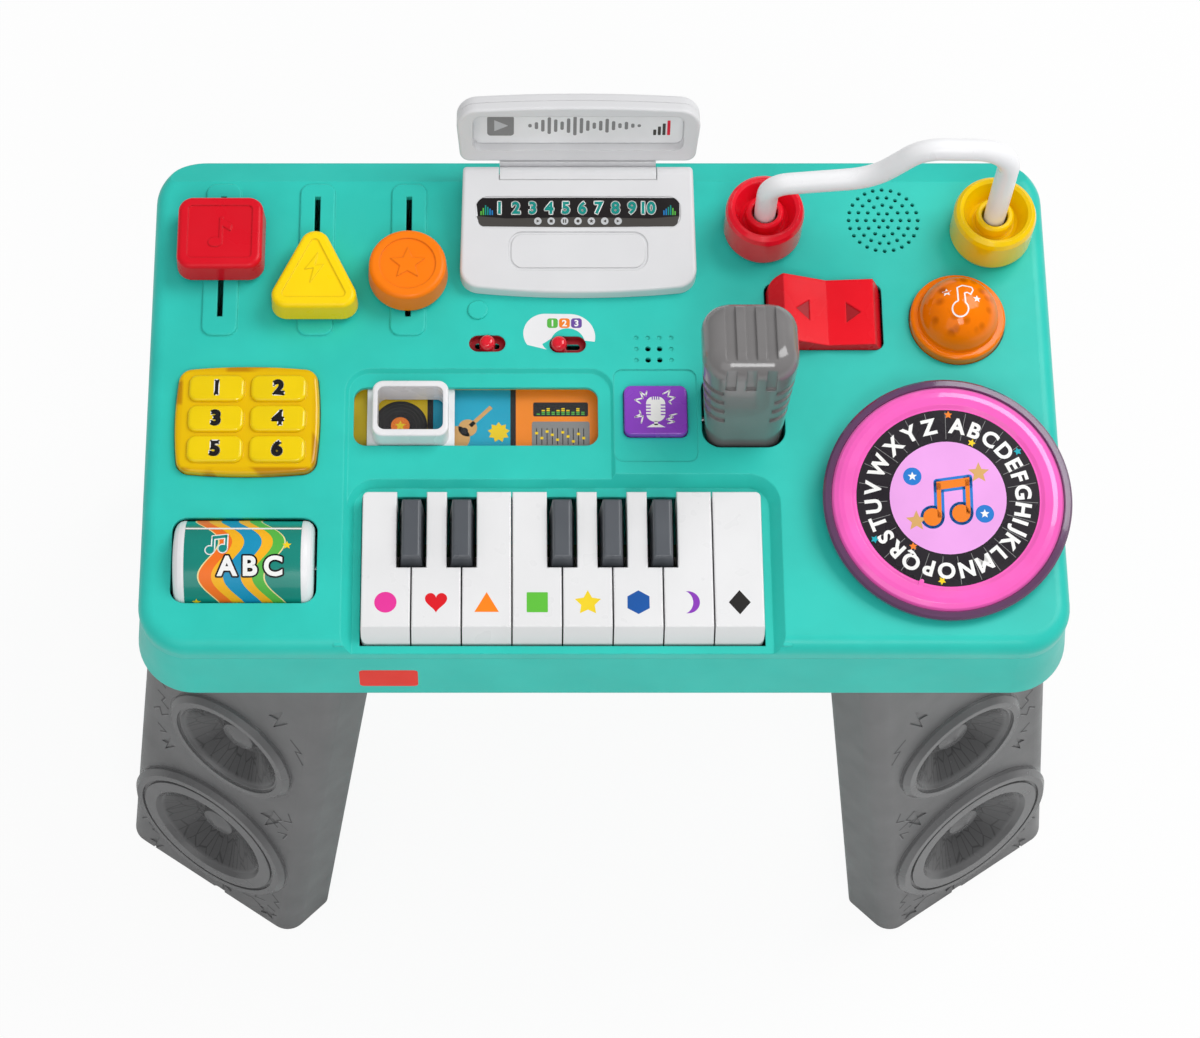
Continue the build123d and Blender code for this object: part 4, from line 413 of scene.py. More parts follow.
def stroke(points, thick, closed=False):
    """Line of even thickness with round ends, thick being half its width."""
    line = points + points[:1] if closed else points
    shape = [disc(x, y, thick, 10)[0] for x, y in points]
    for a, b in zip(line, line[1:]):
        length = math.hypot(b[0] - a[0], b[1] - a[1]) or 1.0
        nx, ny = (b[1] - a[1]) / length * thick, (a[0] - b[0]) / length * thick
        shape.append([(a[0] + nx, a[1] + ny), (b[0] + nx, b[1] + ny),
                      (b[0] - nx, b[1] - ny), (a[0] - nx, a[1] - ny)])
    return shape


def on_back(shapes, thick):
    """The outlines of shapes drawn thick, for a border or a shadow under them."""
    return [stroke(points, thick, True) for shape in shapes for points in shape]


FIRST_DIGIT, DIGIT_PITCH = -44.1, 9.29
ICON_Y, FIRST_ICON, ICON_PITCH = -4.9, -22.6, 7.5
strip_digits = [lettering(str(number), FIRST_DIGIT + DIGIT_PITCH * (number - 1), 2.7, 9.2, 0.34)
                for number in range(1, 11)]
strip_glow = on_back(strip_digits, 0.5)
strip_bars = {0: [], 1: [], 2: []}
for side in (-1, 1):
    for index, height in enumerate((2.2, 4.0, 5.6, 4.6, 3.6, 2.6)):
        strip_bars[index // 2].append(box(side * (54.4 - 1.25 * index), -1.4 + height / 2, 0.75, height))
strip_icons = [disc(FIRST_ICON + ICON_PITCH * index, ICON_Y, 2.1) for index in range(7)]
strip_marks = [[[(-23.3, -5.8), (-23.3, -4.0), (-21.6, ICON_Y)]], box(-15.1, ICON_Y, 1.7, 1.7),
               box(-8.2, ICON_Y, 0.7, 2.0), box(-7.0, ICON_Y, 0.7, 2.0), disc(-0.1, ICON_Y, 0.9),
               burst(7.4, ICON_Y, 1.3), [[(15.7, -5.8), (15.7, -4.0), (14.1, ICON_Y)]],
               [[(21.6, -5.8), (21.6, -4.0), (23.2, ICON_Y)]]]
strip_foot = [(56.8, -2.0)] + arc(52.6, -4.6, 3.4, 0, -80, 6) + [(0, -8.4)] \
    + arc(-52.6, -4.6, 3.4, -100, -180, 6)
strip_outline = [(-57.0, 5.6)] + arc(-53.6, 5.2, 3.2, 170, 92, 6) + [(0, 8.6)] \
    + arc(53.6, 5.2, 3.2, 88, 10, 6) + strip_foot
strip_lower = [(-57.0, -2.0), (-40, -3.4), (0, -2.6), (40, -3.4)] + strip_foot
printed("laptop_number_strip", "table",
        lying(LAPTOP_X, STRIP_Y, slope_z(STRIP_Y) - STRIP_SUNK + 0.03, LAPTOP_SLOPE),
        [(black_ink, [[strip_outline]]), (graphite_ink, [[strip_lower]]), (green_ink, strip_bars[0]),
         (teal_ink, strip_bars[1]), (blue_ink, strip_bars[2]), (pale_grey_ink, strip_icons),
         (graphite_ink, strip_marks), (white_ink, strip_glow), (teal_ink, strip_digits)])

LID_LEAN = 20.0
CARD_FACE = -13.3
SCREEN_MIDDLE = 26.75
lean_sine, lean_cosine = math.sin(math.radians(LID_LEAN)), math.cos(math.radians(LID_LEAN))
lid_frame = Matrix.Translation((LAPTOP_X / 1000, PIN_Y / 1000, PIN_Z / 1000)) @ Matrix(
    ((1, 0, 0, 0), (0, lean_sine, -lean_cosine, 0), (0, lean_cosine, lean_sine, 0), (0, 0, 0, 1)))


def on_screen(x, y, h):
    """Flat on the open lid's screen card."""
    return lid_frame @ Vector((x / 1000, (y + SCREEN_MIDDLE) / 1000, (CARD_FACE + h) / 1000))


WAVE_HEIGHTS = (2.5, 5, 8.5, 12, 9, 6, 10.5, 14, 11, 7.5, 4.5, 7, 10, 6.5, 3.5, 5.5, 3, 2)
FIRST_BAR, BAR_PITCH, BAR_Y = -27.0, 3.6, 0.4
wave_bars = [box(FIRST_BAR + BAR_PITCH * index, BAR_Y, 1.9, height, 0.8)
             for index, height in enumerate(WAVE_HEIGHTS)]
play_tile = [box(-43.5, BAR_Y, 15.0, 14.5, 2.0)]
play_mark = [[[(-47.0, -3.6), (-39.2, BAR_Y), (-47.0, 4.4)]]]
volume_steps = [box(43.0 + 2.6 * index, -4.4 + 1.1 * index, 1.7, 4.0 + 2.2 * index, 0.4)
                for index in range(3)]
volume_top = [box(50.8, -1.1, 1.7, 10.6, 0.4)]
printed("laptop_screen_print", "laptop_lid", on_screen,
        [(ink("screen_silver", "#F0F1F2"), [box(0, 0, 117.6, 24.2, 4.0)]), (grey_ink, play_tile + wave_bars),
         (pale_grey_ink, play_mark), (graphite_ink, volume_steps), (red_ink, volume_top)])


# ---- Marks on the legs ---------------------------------------------------------------------
# Small bolts, cracks and dashes pressed into the speaker faces of the legs, drawn as flat film:
# each a dark line of painted shade for its hollow and a paler offset line of painted highlight for its lip.

hollow_shade_grey = ink("mark_hollow_shade", "#515152", 0.5)
lip_highlight_grey = ink("mark_lip_highlight", "#818182", 0.3)
mark_lines = (
    [(-50, 232), (-45, 226), (-49, 224), (-43, 216)], [(-48, 208), (-43, 204), (-45, 198), (-40, 193)],
    [(-50, 184), (-46, 189), (-44, 181), (-40, 186)], [(-46, 168), (-40, 163), (-44, 160)],
    [(40, 150), (46, 145), (43, 141), (51, 137)], [(38, 138), (44, 133)], [(45, 127), (51, 131), (49, 123)],
    [(50, 158), (53, 150), (48, 146)], [(-51, 44), (-48, 36), (-52, 30)],
    [(-47, 29), (-42, 26), (-44, 23), (-38, 22)], [(30, 24), (37, 28), (36, 22), (43, 25)],
    [(48, 40), (53, 35), (50, 31), (54, 27)], [(46, 21), (51, 19)],
    [(-34, 19), (-28, 22), (-30, 16), (-22, 18)], [(27, 16), (34, 18), (40, 15)],
    [(44, 248), (52, 240), (48, 238), (54, 228)], [(-30, 250), (-24, 244), (-28, 241), (-20, 236)])
LIP_HIGHLIGHT_SHIFT = (0.5, -0.7)
for side_x, side_y, corner in ((1, 1, "front_left"), (-1, 1, "front_right"), (1, -1, "back_left"),
                               (-1, -1, "back_right")):
    turned = side_x * side_y
    mirror = Matrix.Diagonal((side_x, side_y, 1))

    def on_leg(x, y, h, turned=turned, mirror=mirror):
        """Flat on the leg's speaker face, mirrored from the left front leg."""
        return mirror @ (on_face(turned * x, y) + h * face_out) / 1000

    # Painted shade in each groove, and a painted highlight on its lip shifted a little aside.
    hollow_shades = [stroke([(turned * x, y) for x, y in line], 0.55) for line in mark_lines]
    lip_highlights = [stroke([(turned * (x + LIP_HIGHLIGHT_SHIFT[0]), y + LIP_HIGHLIGHT_SHIFT[1]) for x, y in line], 0.4)
            for line in mark_lines]
    printed("leg_marks_" + corner, "table", on_leg, [(lip_highlight_grey, lip_highlights), (hollow_shade_grey, hollow_shades)])


# ---- Small switches ------------------------------------------------------------------------
# Two red slide switches in stadium-shaped pockets lined by the red carrier of the knob. A white
# label with three coloured numbers curls over the pocket of the second switch.

gloss_red = plastic("switch_red", "#E6192E", rough=0.18, grain=0.03, soften=0.0, Coat_Weight=0.5)
dress(gloss_red, "power_switch_knob", "stage_switch_knob")

DECK_Z = 385.0
POCKET_FLOOR = 381.0
POCKET = (20.4, 10.2)
LINER = 0.25
LINER_GAP = 0.03
LINER_TOP = DECK_Z - 0.6
FLOOR_LIFT = 0.02
SLOT_R = 1.8
dark_red = plastic("switch_well_red", "#9C0E1C", rough=0.3, grain=0.05, soften=0.0)
for name, x, y in (("power_switch_liner", -63.4, 36.4), ("stage_switch_liner", -18.6, 35.8)):
    outer = POCKET[1] / 2 - LINER_GAP
    straight = POCKET[0] / 2 - POCKET[1] / 2
    rim = arc(straight, 0, 1, -90, 90, 16) + arc(-straight, 0, 1, 90, 270, 16)
    bm = bmesh.new()
    rings = []
    for radius, height in ((outer, POCKET_FLOOR + FLOOR_LIFT), (outer, LINER_TOP), (outer - LINER, LINER_TOP),
                           (outer - LINER, POCKET_FLOOR + LINER), (SLOT_R, POCKET_FLOOR + LINER),
                           (SLOT_R, POCKET_FLOOR + FLOOR_LIFT)):
        ring = []
        for a, b in rim:
            end = math.copysign(straight, a) if abs(a) > 1e-9 else 0.0
            ring.append(bm.verts.new(((x + end + (a - end) * radius) / 1000, (y + b * radius) / 1000,
                                      height / 1000)))
        rings.append(ring)
    for first, second in zip(rings, rings[1:] + rings[:1]):
        for index in range(len(rim)):
            following = (index + 1) % len(rim)
            bm.faces.new((first[index], first[following], second[following], second[index]))
    bmesh.ops.recalc_face_normals(bm, faces=bm.faces)
    mounted(name, bm, [dark_red], "table")

stage_label = (arc(-31.0, 42.6, 12.3, 215, 92, 20) + arc(-17.5, 40.4, 14.3, 88, -12, 20)
               + arc(-18.6, 36.2, 9.6, 12, 160, 20) + arc(-25.6, 38.6, 7.6, 200, 232, 6))
STAGE_DIGIT_Y = 49.0
stage_colours = ((green_ink, -27.0, "1"), (orange_ink, -20.3, "2"),
                 (ink("ink_violet", "#6B4BA0"), -13.6, "3"))
printed("stage_label", "table", lying(0, 0, DECK_Z),
        [(ink("label_white", "#ECECEE"), [[stage_label]])]
        + [(material, [box(x, STAGE_DIGIT_Y, 6.0, 6.0, 1.6)]) for material, x, _ in stage_colours]
        + [(white_ink, [lettering(digit, x, STAGE_DIGIT_Y, 5.4, 0.16) for _, x, digit in stage_colours])])


# ---- Number panel --------------------------------------------------------------------------
# One springy button with six pads, moulded in clear amber-yellow over a bright yellow core, its
# digits printed black on white.

PANEL_X, PANEL_Y = -195.5, -12.2
PANEL_HALF = (39.9, 32.75)
PAD_TOP = 391.7
PAD_X, PAD_Y = 17.1, 18.4
GUTTER_Z, PAD_EDGE_Z = 0.3899, 0.3912
PANEL_RIM = 4.6
CORE_SIZE, CORE_Z, CORE_CORNER_R = (0.0725, 0.0582, 0.0042), 0.3848, 0.006
amber_clear = plastic("amber_clear", "#FFDC08", rough=0.1, grain=0.03, soften=0.0009, wear_and_highlight=0.45, cloud=0.03,
                      Coat_Weight=0.4, Transmission_Weight=0.12, Specular_IOR_Level=0.3)
tree = amber_clear.node_tree
surface = tree.nodes["Principled BSDF"]
where = wire(tree, "ShaderNodeTexCoord").outputs["Object"]
place_on = wire(tree, "ShaderNodeSeparateXYZ", None, Vector=where).outputs
margins = []
for axis, middle, half in ((0, PANEL_X, PANEL_HALF[0]), (1, PANEL_Y, PANEL_HALF[1])):
    shift = wire(tree, "ShaderNodeMath", {"operation": "SUBTRACT"}, i0=place_on[axis],
                 i1=middle / 1000).outputs[0]
    size = wire(tree, "ShaderNodeMath", {"operation": "ABSOLUTE"}, i0=shift).outputs[0]
    margins.append(wire(tree, "ShaderNodeMath", {"operation": "SUBTRACT"}, i0=size,
                        i1=half / 1000).outputs[0])
border = wire(tree, "ShaderNodeMath", {"operation": "MAXIMUM"}, i0=margins[0], i1=margins[1]).outputs[0]
ribs = wire(tree, "ShaderNodeTexNoise", None, Vector=where, Scale=55.0, Detail=0.0).outputs[0]
rim_colour = mixed(tree, spread(tree, ribs, 0.53, 0.6), shade("#F2C000"), shade("#CE9200"))
# Painted shade: below the pads' edges the panel is painted a deeper yellow, in the low gutters between the
# pads.
gutter_shade = mixed(tree, spread(tree, place_on[2], GUTTER_Z, PAD_EDGE_Z), shade("#F8CA00"),
                surface.inputs["Base Color"].links[0].from_socket)
in_rim = spread(tree, border, -PANEL_RIM / 1000, -0.7 * PANEL_RIM / 1000)
tree.links.new(mixed(tree, in_rim, gutter_shade, rim_colour), surface.inputs["Base Color"])
dress(amber_clear, "number_panel")
panel_digits = [lettering(str(2 * row + column + 1), (2 * column - 1) * PAD_X, (1 - row) * PAD_Y, 11.6, 0.4)
                for row in range(3) for column in range(2)]
printed("number_panel_digits", "number_panel", lying(PANEL_X, PANEL_Y, PAD_TOP),
        [(white_ink, on_back(panel_digits, 0.55)), (black_ink, panel_digits)])

bm = bmesh.new()
bmesh.ops.create_cube(bm, size=1.0)
bmesh.ops.scale(bm, vec=CORE_SIZE, verts=bm.verts)
uprights = [edge for edge in bm.edges if abs(edge.verts[0].co.z - edge.verts[1].co.z) > 0.001]
bmesh.ops.bevel(bm, geom=uprights, offset=CORE_CORNER_R, segments=6, affect="EDGES")
bmesh.ops.translate(bm, vec=(PANEL_X / 1000, PANEL_Y / 1000, CORE_Z), verts=bm.verts)
mounted("number_panel_core", bm, [plastic("core_yellow", "#FFE21A", rough=0.4, grain=0.05, soften=0.0)],
        "number_panel")


# ---- Drum ----------------------------------------------------------------------------------
# A spinning drum: a teal barrel wrapped in a printed sleeve of wavy stripes, closed by two
# rounded white caps on a steel axle.

dress(plastic("drum_teal", "#0C8A7C", rough=0.22, grain=0.03, soften=0.0, Coat_Weight=0.5), "drum_barrel")
dress(plastic("cap_white", "#EDEDEF", rough=0.3, grain=0.05, soften=0.0006, wear_and_highlight=0.2), "drum_end_caps")
DRUM_X, DRUM_Y, DRUM_Z, DRUM_R = -194.9, -94.3, 373.0, 26.0


def round_drum(x, y, h):
    """Wraps artwork round the barrel: y runs up its back from the top line."""
    reach = DRUM_R + h
    turn = y / DRUM_R
    return Vector(((DRUM_X + x) / 1000, (DRUM_Y + reach * math.sin(turn)) / 1000,
                   (DRUM_Z + reach * math.cos(turn)) / 1000))


WIDE_SWING, SMALL_SWING = 6.5, 1.5
SLEEVE_STEPS = 120
HALF_ROUND = math.pi * DRUM_R
wave_steps = [-HALF_ROUND + 2 * HALF_ROUND * step / SLEEVE_STEPS for step in range(SLEEVE_STEPS + 1)]


def wave(base, y):
    """Edge of a stripe: its place swings as it runs round the barrel."""
    return base + WIDE_SWING * math.sin(4 * y / DRUM_R + 0.7) - SMALL_SWING * math.sin(2 * y / DRUM_R)


def stripe(left, right):
    """Wavy stripe all round the barrel."""
    return [[(wave(left, a), a), (wave(right, a), a), (wave(right, b), b), (wave(left, b), b)]
            for a, b in zip(wave_steps, wave_steps[1:])]


cream_ink = ink("ink_cream", "#F1E2A0")
gold_ink = ink("ink_gold", "#F9B61B")
note_pair = [disc(-3.0, -3.4, 1.9), disc(3.0, -2.6, 1.9), box(-1.5, 0.2, 0.9, 7.4), box(4.5, 1.0, 0.9, 7.4),
             [[(-1.95, 2.4), (4.95, 3.4), (4.95, 5.2), (-1.95, 4.2)]]]


def moved(shapes, x, y, grow=1.0):
    """The same shapes in another place and size."""
    return [[[(x + grow * a, y + grow * b) for a, b in points] for points in shape] for shape in shapes]


drum_notes = moved(note_pair, -14.0, 4.0, 1.15)
LETTER_PITCH = 12.4
drum_letters = [lettering(letter, -8.0 + LETTER_PITCH * index, -8.6, 14.5, 0.5)
                for index, letter in enumerate("ABC")]
printed("drum_sleeve", "drum", round_drum,
        [(cream_ink, [stripe(-19.0, 17.4)]), (ink("drum_orange", "#F5741D"), [stripe(-18.2, -11.5)]),
         (gold_ink, [stripe(-11.5, -5.0)]), (ink("drum_blue", "#1193BE"), [stripe(-5.0, 4.5)]),
         (gold_ink, [stripe(4.5, 10.5)]), (green_ink, [stripe(10.5, 16.6)]),
         (white_ink, on_back(drum_notes, 0.7) + [box(0, 15.2, 62.8, 1.5)]), (teal_ink, drum_notes),
         (yellow_ink, [burst(24.0, 3.0, 2.6), burst(-25.0, -30.0, 2.6), burst(24.0, -40.0, 3.2)]),
         (black_ink, on_back(drum_letters, 0.95)), (white_ink, drum_letters)],
        range(-20, 20))


# ---- Picture window ------------------------------------------------------------------------
# A printed strip in a shallow tray under a clear lens. A white viewer frame slides over it on a
# thin plate of its own.

dress(plastic("viewer_white", "#E9E9EB", rough=0.28, grain=0.04, soften=0.0009, wear_and_highlight=0.2), "window_slider")
dress(ink("tray_card", "#E2C014"), "picture_tray")
dress(plastic("lens_clear", "#8E9496", rough=0.05, grain=0.0, soften=0.0, cloud=0.0, Alpha=0.04,
              Specular_IOR_Level=1.0, Coat_Weight=0.5), "window_lens")
WINDOW_X, WINDOW_Y, TRAY_FLOOR = -69.6, -7.3, 374.5
mustard_ink = ink("ink_mustard", "#EAC812")
lagoon_ink = ink("ink_lagoon", "#10AACB")
rust_ink = ink("ink_rust", "#F07F13")
tan_ink = ink("ink_tan", "#D9A866")
DECK_RECORD = (-42.0, -2.0)
FADER_X, FADER_Y, FADER_PITCH = 33.6, -8.6, 2.9
METER_X, METER_PITCH, METER_STEP = 34.6, 2.75, 1.1
record_rings = [on_back([[arc(*DECK_RECORD, radius, 0, 352, 44)]], 0.12) for radius in (9.0, 11.0, 13.0)]
meter_bars = {0: [], 1: [], 2: []}
for index, height in enumerate((2.0, 3.5, 5.0, 3.0, 4.2, 5.4, 3.8, 2.4, 4.6, 3.2)):
    for level in range(int(height / METER_STEP)):
        meter_bars[min(level // 2, 2)].append(
            box(METER_X + METER_PITCH * index, 5.0 + METER_STEP * level, 1.8, 0.75))
fader_slots = [box(FADER_X + FADER_PITCH * index, FADER_Y, 0.45, 10.0) for index in range(10)]
fader_caps = [box(FADER_X + FADER_PITCH * index, FADER_Y + shift, 1.7, 1.5, 0.3)
              for index, shift in enumerate((2, -1, 3, 1, -2, 2.5, 0, -3, 1.5, -1))]
guitar = [disc(-10.5, -9.5, 7.2), disc(-4.6, -3.4, 5.2),
          [[(-4.0, -1.4), (7.6, 10.2), (9.2, 8.6), (-2.4, -3.0)]]]
printed("window_picture", "table", lying(WINDOW_X, WINDOW_Y, TRAY_FLOOR),
        [(mustard_ink, [box(-48.5, 0, 43.0, 40.0)]), (lagoon_ink, [box(-1.9, 0, 44.0, 40.0)]),
         (ink("ink_amber", "#FF8E14"), [box(46.0, 0, 48.0, 40.0)]),
         (black_ink, [box(-25.4, 0, 3.2, 40.0), box(20.6, 0, 3.0, 40.0), disc(*DECK_RECORD, 15.0),
                      box(47.0, 8.0, 30.5, 8.6, 1.0)]),
         (graphite_ink, [shape for ring in record_rings for shape in ring]),
         (orange_ink, [disc(*DECK_RECORD, 5.2)]),
         (yellow_ink, [burst(*DECK_RECORD, 3.2), burst(12.6, -6.0, 6.2, 0.7, 9)]),
         (grey_ink, [box(47.0, -8.0, 32.0, 17.0, 1.4)]), (tan_ink, guitar),
         (black_ink, [disc(-6.4, -5.2, 2.0)] + fader_slots), (green_ink, meter_bars[0]),
         (yellow_ink, meter_bars[1] + fader_caps), (orange_ink, meter_bars[2])])


# ---- Microphone button ---------------------------------------------------------------------
# A square purple button with a white printed microphone and four flashes, behind it a grid of
# small sound holes in the deck.

purple = plastic("button_purple", "#8E3FC6", rough=0.26, grain=0.04, soften=0.0008, wear_and_highlight=0.5, Coat_Weight=0.3)
dress(purple, "mic_button")
MIC_BUTTON = (29.6, -5.7, 388.0)
capsule = [[arc(0.9, 3.6, 4.4, 0, 90, 8) + arc(-0.9, 3.6, 4.4, 90, 180, 8) + arc(-0.3, -2.4, 5.0, 180, 270, 8)
            + arc(0.3, -2.4, 5.0, 270, 360, 8)]]
capsule_gaps = [box(-1.8 + 1.2 * index, 7.3, 0.6, 2.4) for index in range(4)] \
    + [box(side * 4.2, 2.8 - 1.95 * index, 2.9, 0.75) for side in (-1, 1) for index in range(4)]
mic_stand = [box(0, -8.2, 2.0, 2.4), [[(-1.6, -8.6), (1.6, -8.6), (5.2, -10.7), (-5.2, -10.7)]]]
flashes = [stroke(points, 0.42) for points in (
    [(-4.8, 11.1), (-5.3, 8.5), (-8.3, 10.6), (-7.0, 7.0), (-11.3, 6.0), (-8.4, 3.8)],
    [(4.2, 9.6), (7.9, 11.7), (6.9, 8.1), (10.6, 7.4), (7.4, 4.8), (8.6, 3.5)],
    [(-8.9, -0.7), (-8.3, -2.7), (-11.4, -4.5), (-7.1, -3.9), (-8.1, -8.0)],
    [(11.4, -2.6), (7.7, -3.6), (9.4, -4.7), (6.0, -5.8), (10.1, -7.4), (6.6, -8.4)])]
printed("mic_button_print", "mic_button", lying(*MIC_BUTTON),
        [(white_ink, capsule + mic_stand + flashes), (purple, capsule_gaps)])


# ---- Microphone ----------------------------------------------------------------------------
# A tilting play microphone in glossy grey ABS, with three grooves over the head and four round
# each side.

dress(plastic("mic_grey", "#7B7979", rough=0.15, grain=0.03, soften=0.0016, wear_and_highlight=0.4, Coat_Weight=0.5),
      "microphone")


# ---- Rocker --------------------------------------------------------------------------------
# A V-shaped rocker switch moulded in red ABS, tipping on a steel axle under its valley. The floor
# of the sunk arrow in each wing is covered with darker red film as painted shade.

dress(plastic("rocker_red", "#F01626", rough=0.26, grain=0.05, soften=0.0012, wear_and_highlight=0.2, cloud=0.02,
              Specular_IOR_Level=0.15), "rocker_switch")
ROCKER = (124.6, 53.0, 379.0)
ROCKER_TILT = 8.0
WING_RUN, VALLEY, WING_TOP = 25.5, 11.0, 16.5
ARROW_SUNK, ARROW_MIDDLE, ARROW_TIP, ARROW_FOOT, ARROW_HALF = 0.8, 14.45, 18.2, 10.4, 6.0
# Painted shade: a darker red film on the floor of each sunk arrow; the real arrows carry no print.
arrow_shade_red = ink("arrow_shade_red", "#A80F1C")
for name, side in (("rocker_arrow_shade_left", -1), ("rocker_arrow_shade_right", 1)):
    middle = side * ARROW_MIDDLE
    rise = VALLEY + (WING_TOP - VALLEY) * ARROW_MIDDLE / WING_RUN
    wing = (Matrix.Translation(Vector(ROCKER) / 1000) @ Matrix.Rotation(math.radians(ROCKER_TILT), 4, "Y")
            @ Matrix.Translation((middle / 1000, 0, rise / 1000))
            @ Matrix.Rotation(-side * math.atan2(WING_TOP - VALLEY, WING_RUN), 4, "Y"))

    def on_wing(x, y, h, wing=wing, middle=middle):
        """Flat on the floor of the wing's sunk arrow."""
        return wing @ Vector(((x - middle) / 1000, y / 1000, (h - ARROW_SUNK) / 1000))

    arrow = [(side * ARROW_TIP, 0), (side * ARROW_FOOT, ARROW_HALF), (side * ARROW_FOOT, -ARROW_HALF)]
    printed(name, "rocker", on_wing, [(arrow_shade_red, [[arrow]])])


# ---- Light dome ----------------------------------------------------------------------------
# A press dome in clear orange over a faceted reflector, with a note and two stars printed white
# on its crown.

DOME_X, DOME_Y = 198.9, 50.0
SPOTS_INSIDE, SPOTS_OUTSIDE = (0.0085, 0.0115), (0.0195, 0.0165)  # where the band of painted shade spots fades
dome_clear = plastic("dome_clear", "#FF8000", rough=0.09, grain=0.02, soften=0.0008, wear_and_highlight=0.3, cloud=0.04,
                     Coat_Weight=0.2, Transmission_Weight=0.06, Specular_IOR_Level=0.2)
tree = dome_clear.node_tree
surface = tree.nodes["Principled BSDF"]
where = wire(tree, "ShaderNodeTexCoord").outputs["Object"]
from_axis = wire(tree, "ShaderNodeVectorMath", {"operation": "SUBTRACT"}, i0=where,
                 i1=(DOME_X / 1000, DOME_Y / 1000, 0.0)).outputs[0]
flat = wire(tree, "ShaderNodeVectorMath", {"operation": "MULTIPLY"}, i0=from_axis,
            i1=(1.0, 1.0, 0.0)).outputs[0]
reach = vector_length(tree, flat)
# Painted shade: darker spots in a ring band on the dome stand in for the reflector's facets seen through the
# clear plastic.
cells = wire(tree, "ShaderNodeTexVoronoi", None, Vector=flat, Scale=150.0, Randomness=0.75).outputs[0]
shade_band = product(tree, spread(tree, reach, *SPOTS_INSIDE), spread(tree, reach, *SPOTS_OUTSIDE))
facet_shade = product(tree, shade_band, spread(tree, cells, 0.5, 0.2, 0.0, 0.8))
tree.links.new(mixed(tree, facet_shade, surface.inputs["Base Color"].links[0].from_socket, shade("#AF4C00")),
               surface.inputs["Base Color"])
dress(dome_clear, "dome_button")
DOME_TOP, DOME_STEP, DOME_SUNK, DOME_R = 412.5, 391.5, 2, 22.5
dome_rise = DOME_TOP - DOME_STEP + DOME_SUNK
dome_ball = (DOME_R ** 2 + dome_rise ** 2) / (2 * dome_rise)


def on_dome(x, y, h):
    """On the dome's round crown."""
    up = math.sqrt((dome_ball + h) ** 2 - x * x - y * y)
    return Vector(((DOME_X + x) / 1000, (DOME_Y + y) / 1000, (DOME_TOP - dome_ball + up) / 1000))


FACETS = 12
FACET_RELIEF = 0.9
FACET_RINGS = ((19.0, 389.6, 0.0), (16.5, 394.0, 0.5), (12.0, 398.6, 0.0), (6.0, 401.6, 0.5))
bm = bmesh.new()
facet_rings = []
for radius, height, lag in FACET_RINGS:
    ring = []
    for index in range(FACETS):
        angle = math.tau * (index + lag) / FACETS
        relief = FACET_RELIEF if index % 2 else -FACET_RELIEF
        ring.append(bm.verts.new(((DOME_X + radius * math.cos(angle)) / 1000,
                                  (DOME_Y + radius * math.sin(angle)) / 1000, (height + relief) / 1000)))
    facet_rings.append(ring)
for low_ring, high_ring in zip(facet_rings, facet_rings[1:]):
    for index in range(FACETS):
        following = (index + 1) % FACETS
        bm.faces.new((low_ring[index], low_ring[following], high_ring[index]))
        bm.faces.new((low_ring[following], high_ring[following], high_ring[index]))
bm.faces.new(facet_rings[-1])
bm.faces.new(facet_rings[0][::-1])
bmesh.ops.recalc_face_normals(bm, faces=bm.faces)
mounted("dome_reflector", bm,
        [plastic("reflector_orange", "#FF9416", rough=0.2, grain=0.04, soften=0.0, Coat_Weight=0.4)],
        "dome")


def finer(points, step=1.0):
    """The same closed outline with no side longer than a step, to lie close to a curve."""
    close = []
    for (ax, ay), (bx, by) in zip(points, points[1:] + points[:1]):
        parts = max(1, math.ceil(math.hypot(bx - ax, by - ay) / step))
        close += [(ax + (bx - ax) * part / parts, ay + (by - ay) * part / parts) for part in range(parts)]
    return close


dome_note = arc(-1.5, -5.2, 4.4, 50, -250, 30) + [
    (-2.6, -0.6), (-2.6, 8.0), (0.4, 9.6), (5.6, 8.6), (6.2, 6.6), (4.6, 3.4), (2.6, 4.6), (1.2, 4.0),
    (1.4, -1.8)]
dome_stars = [burst(-8.4, 5.4, 2.7), burst(8.0, 1.0, 2.3)]
printed("dome_print", "dome", on_dome, [(white_ink, on_back([[finer(dome_note)]], 0.42) + dome_stars)],
        range(-10, 12, 2))


# ---- Record turntable ----------------------------------------------------------------------
# A tilted record: a pearly pink platter with a printed label, a smoky violet outer ring, and a
# small finger tab, turning on a headed pin in the deck's plinth.

dress(plastic("platter_pink", "#FF62C4", rough=0.2, grain=0.02, soften=0.0006, wear_and_highlight=0.3, cloud=0.05,
              Coat_Weight=0.8, Sheen_Weight=0.3), "turntable_disc")
dress(plastic("smoky_violet", "#81567F", rough=0.1, grain=0.02, soften=0.0, Coat_Weight=0.5,
              Transmission_Weight=0.45, IOR=1.45), "turntable_rim")
TURN = (186.0, -64.8, 403.0)
TURN_TILT = 8.0
LABEL_SUNK = 1.6
turn_frame = Matrix.Translation(Vector(TURN) / 1000) @ Matrix.Rotation(math.radians(TURN_TILT), 4, "X")


def on_label(x, y, h):
    """Flat on the platter's sunk label."""
    return turn_frame @ Vector((x / 1000, y / 1000, (h - LABEL_SUNK) / 1000))


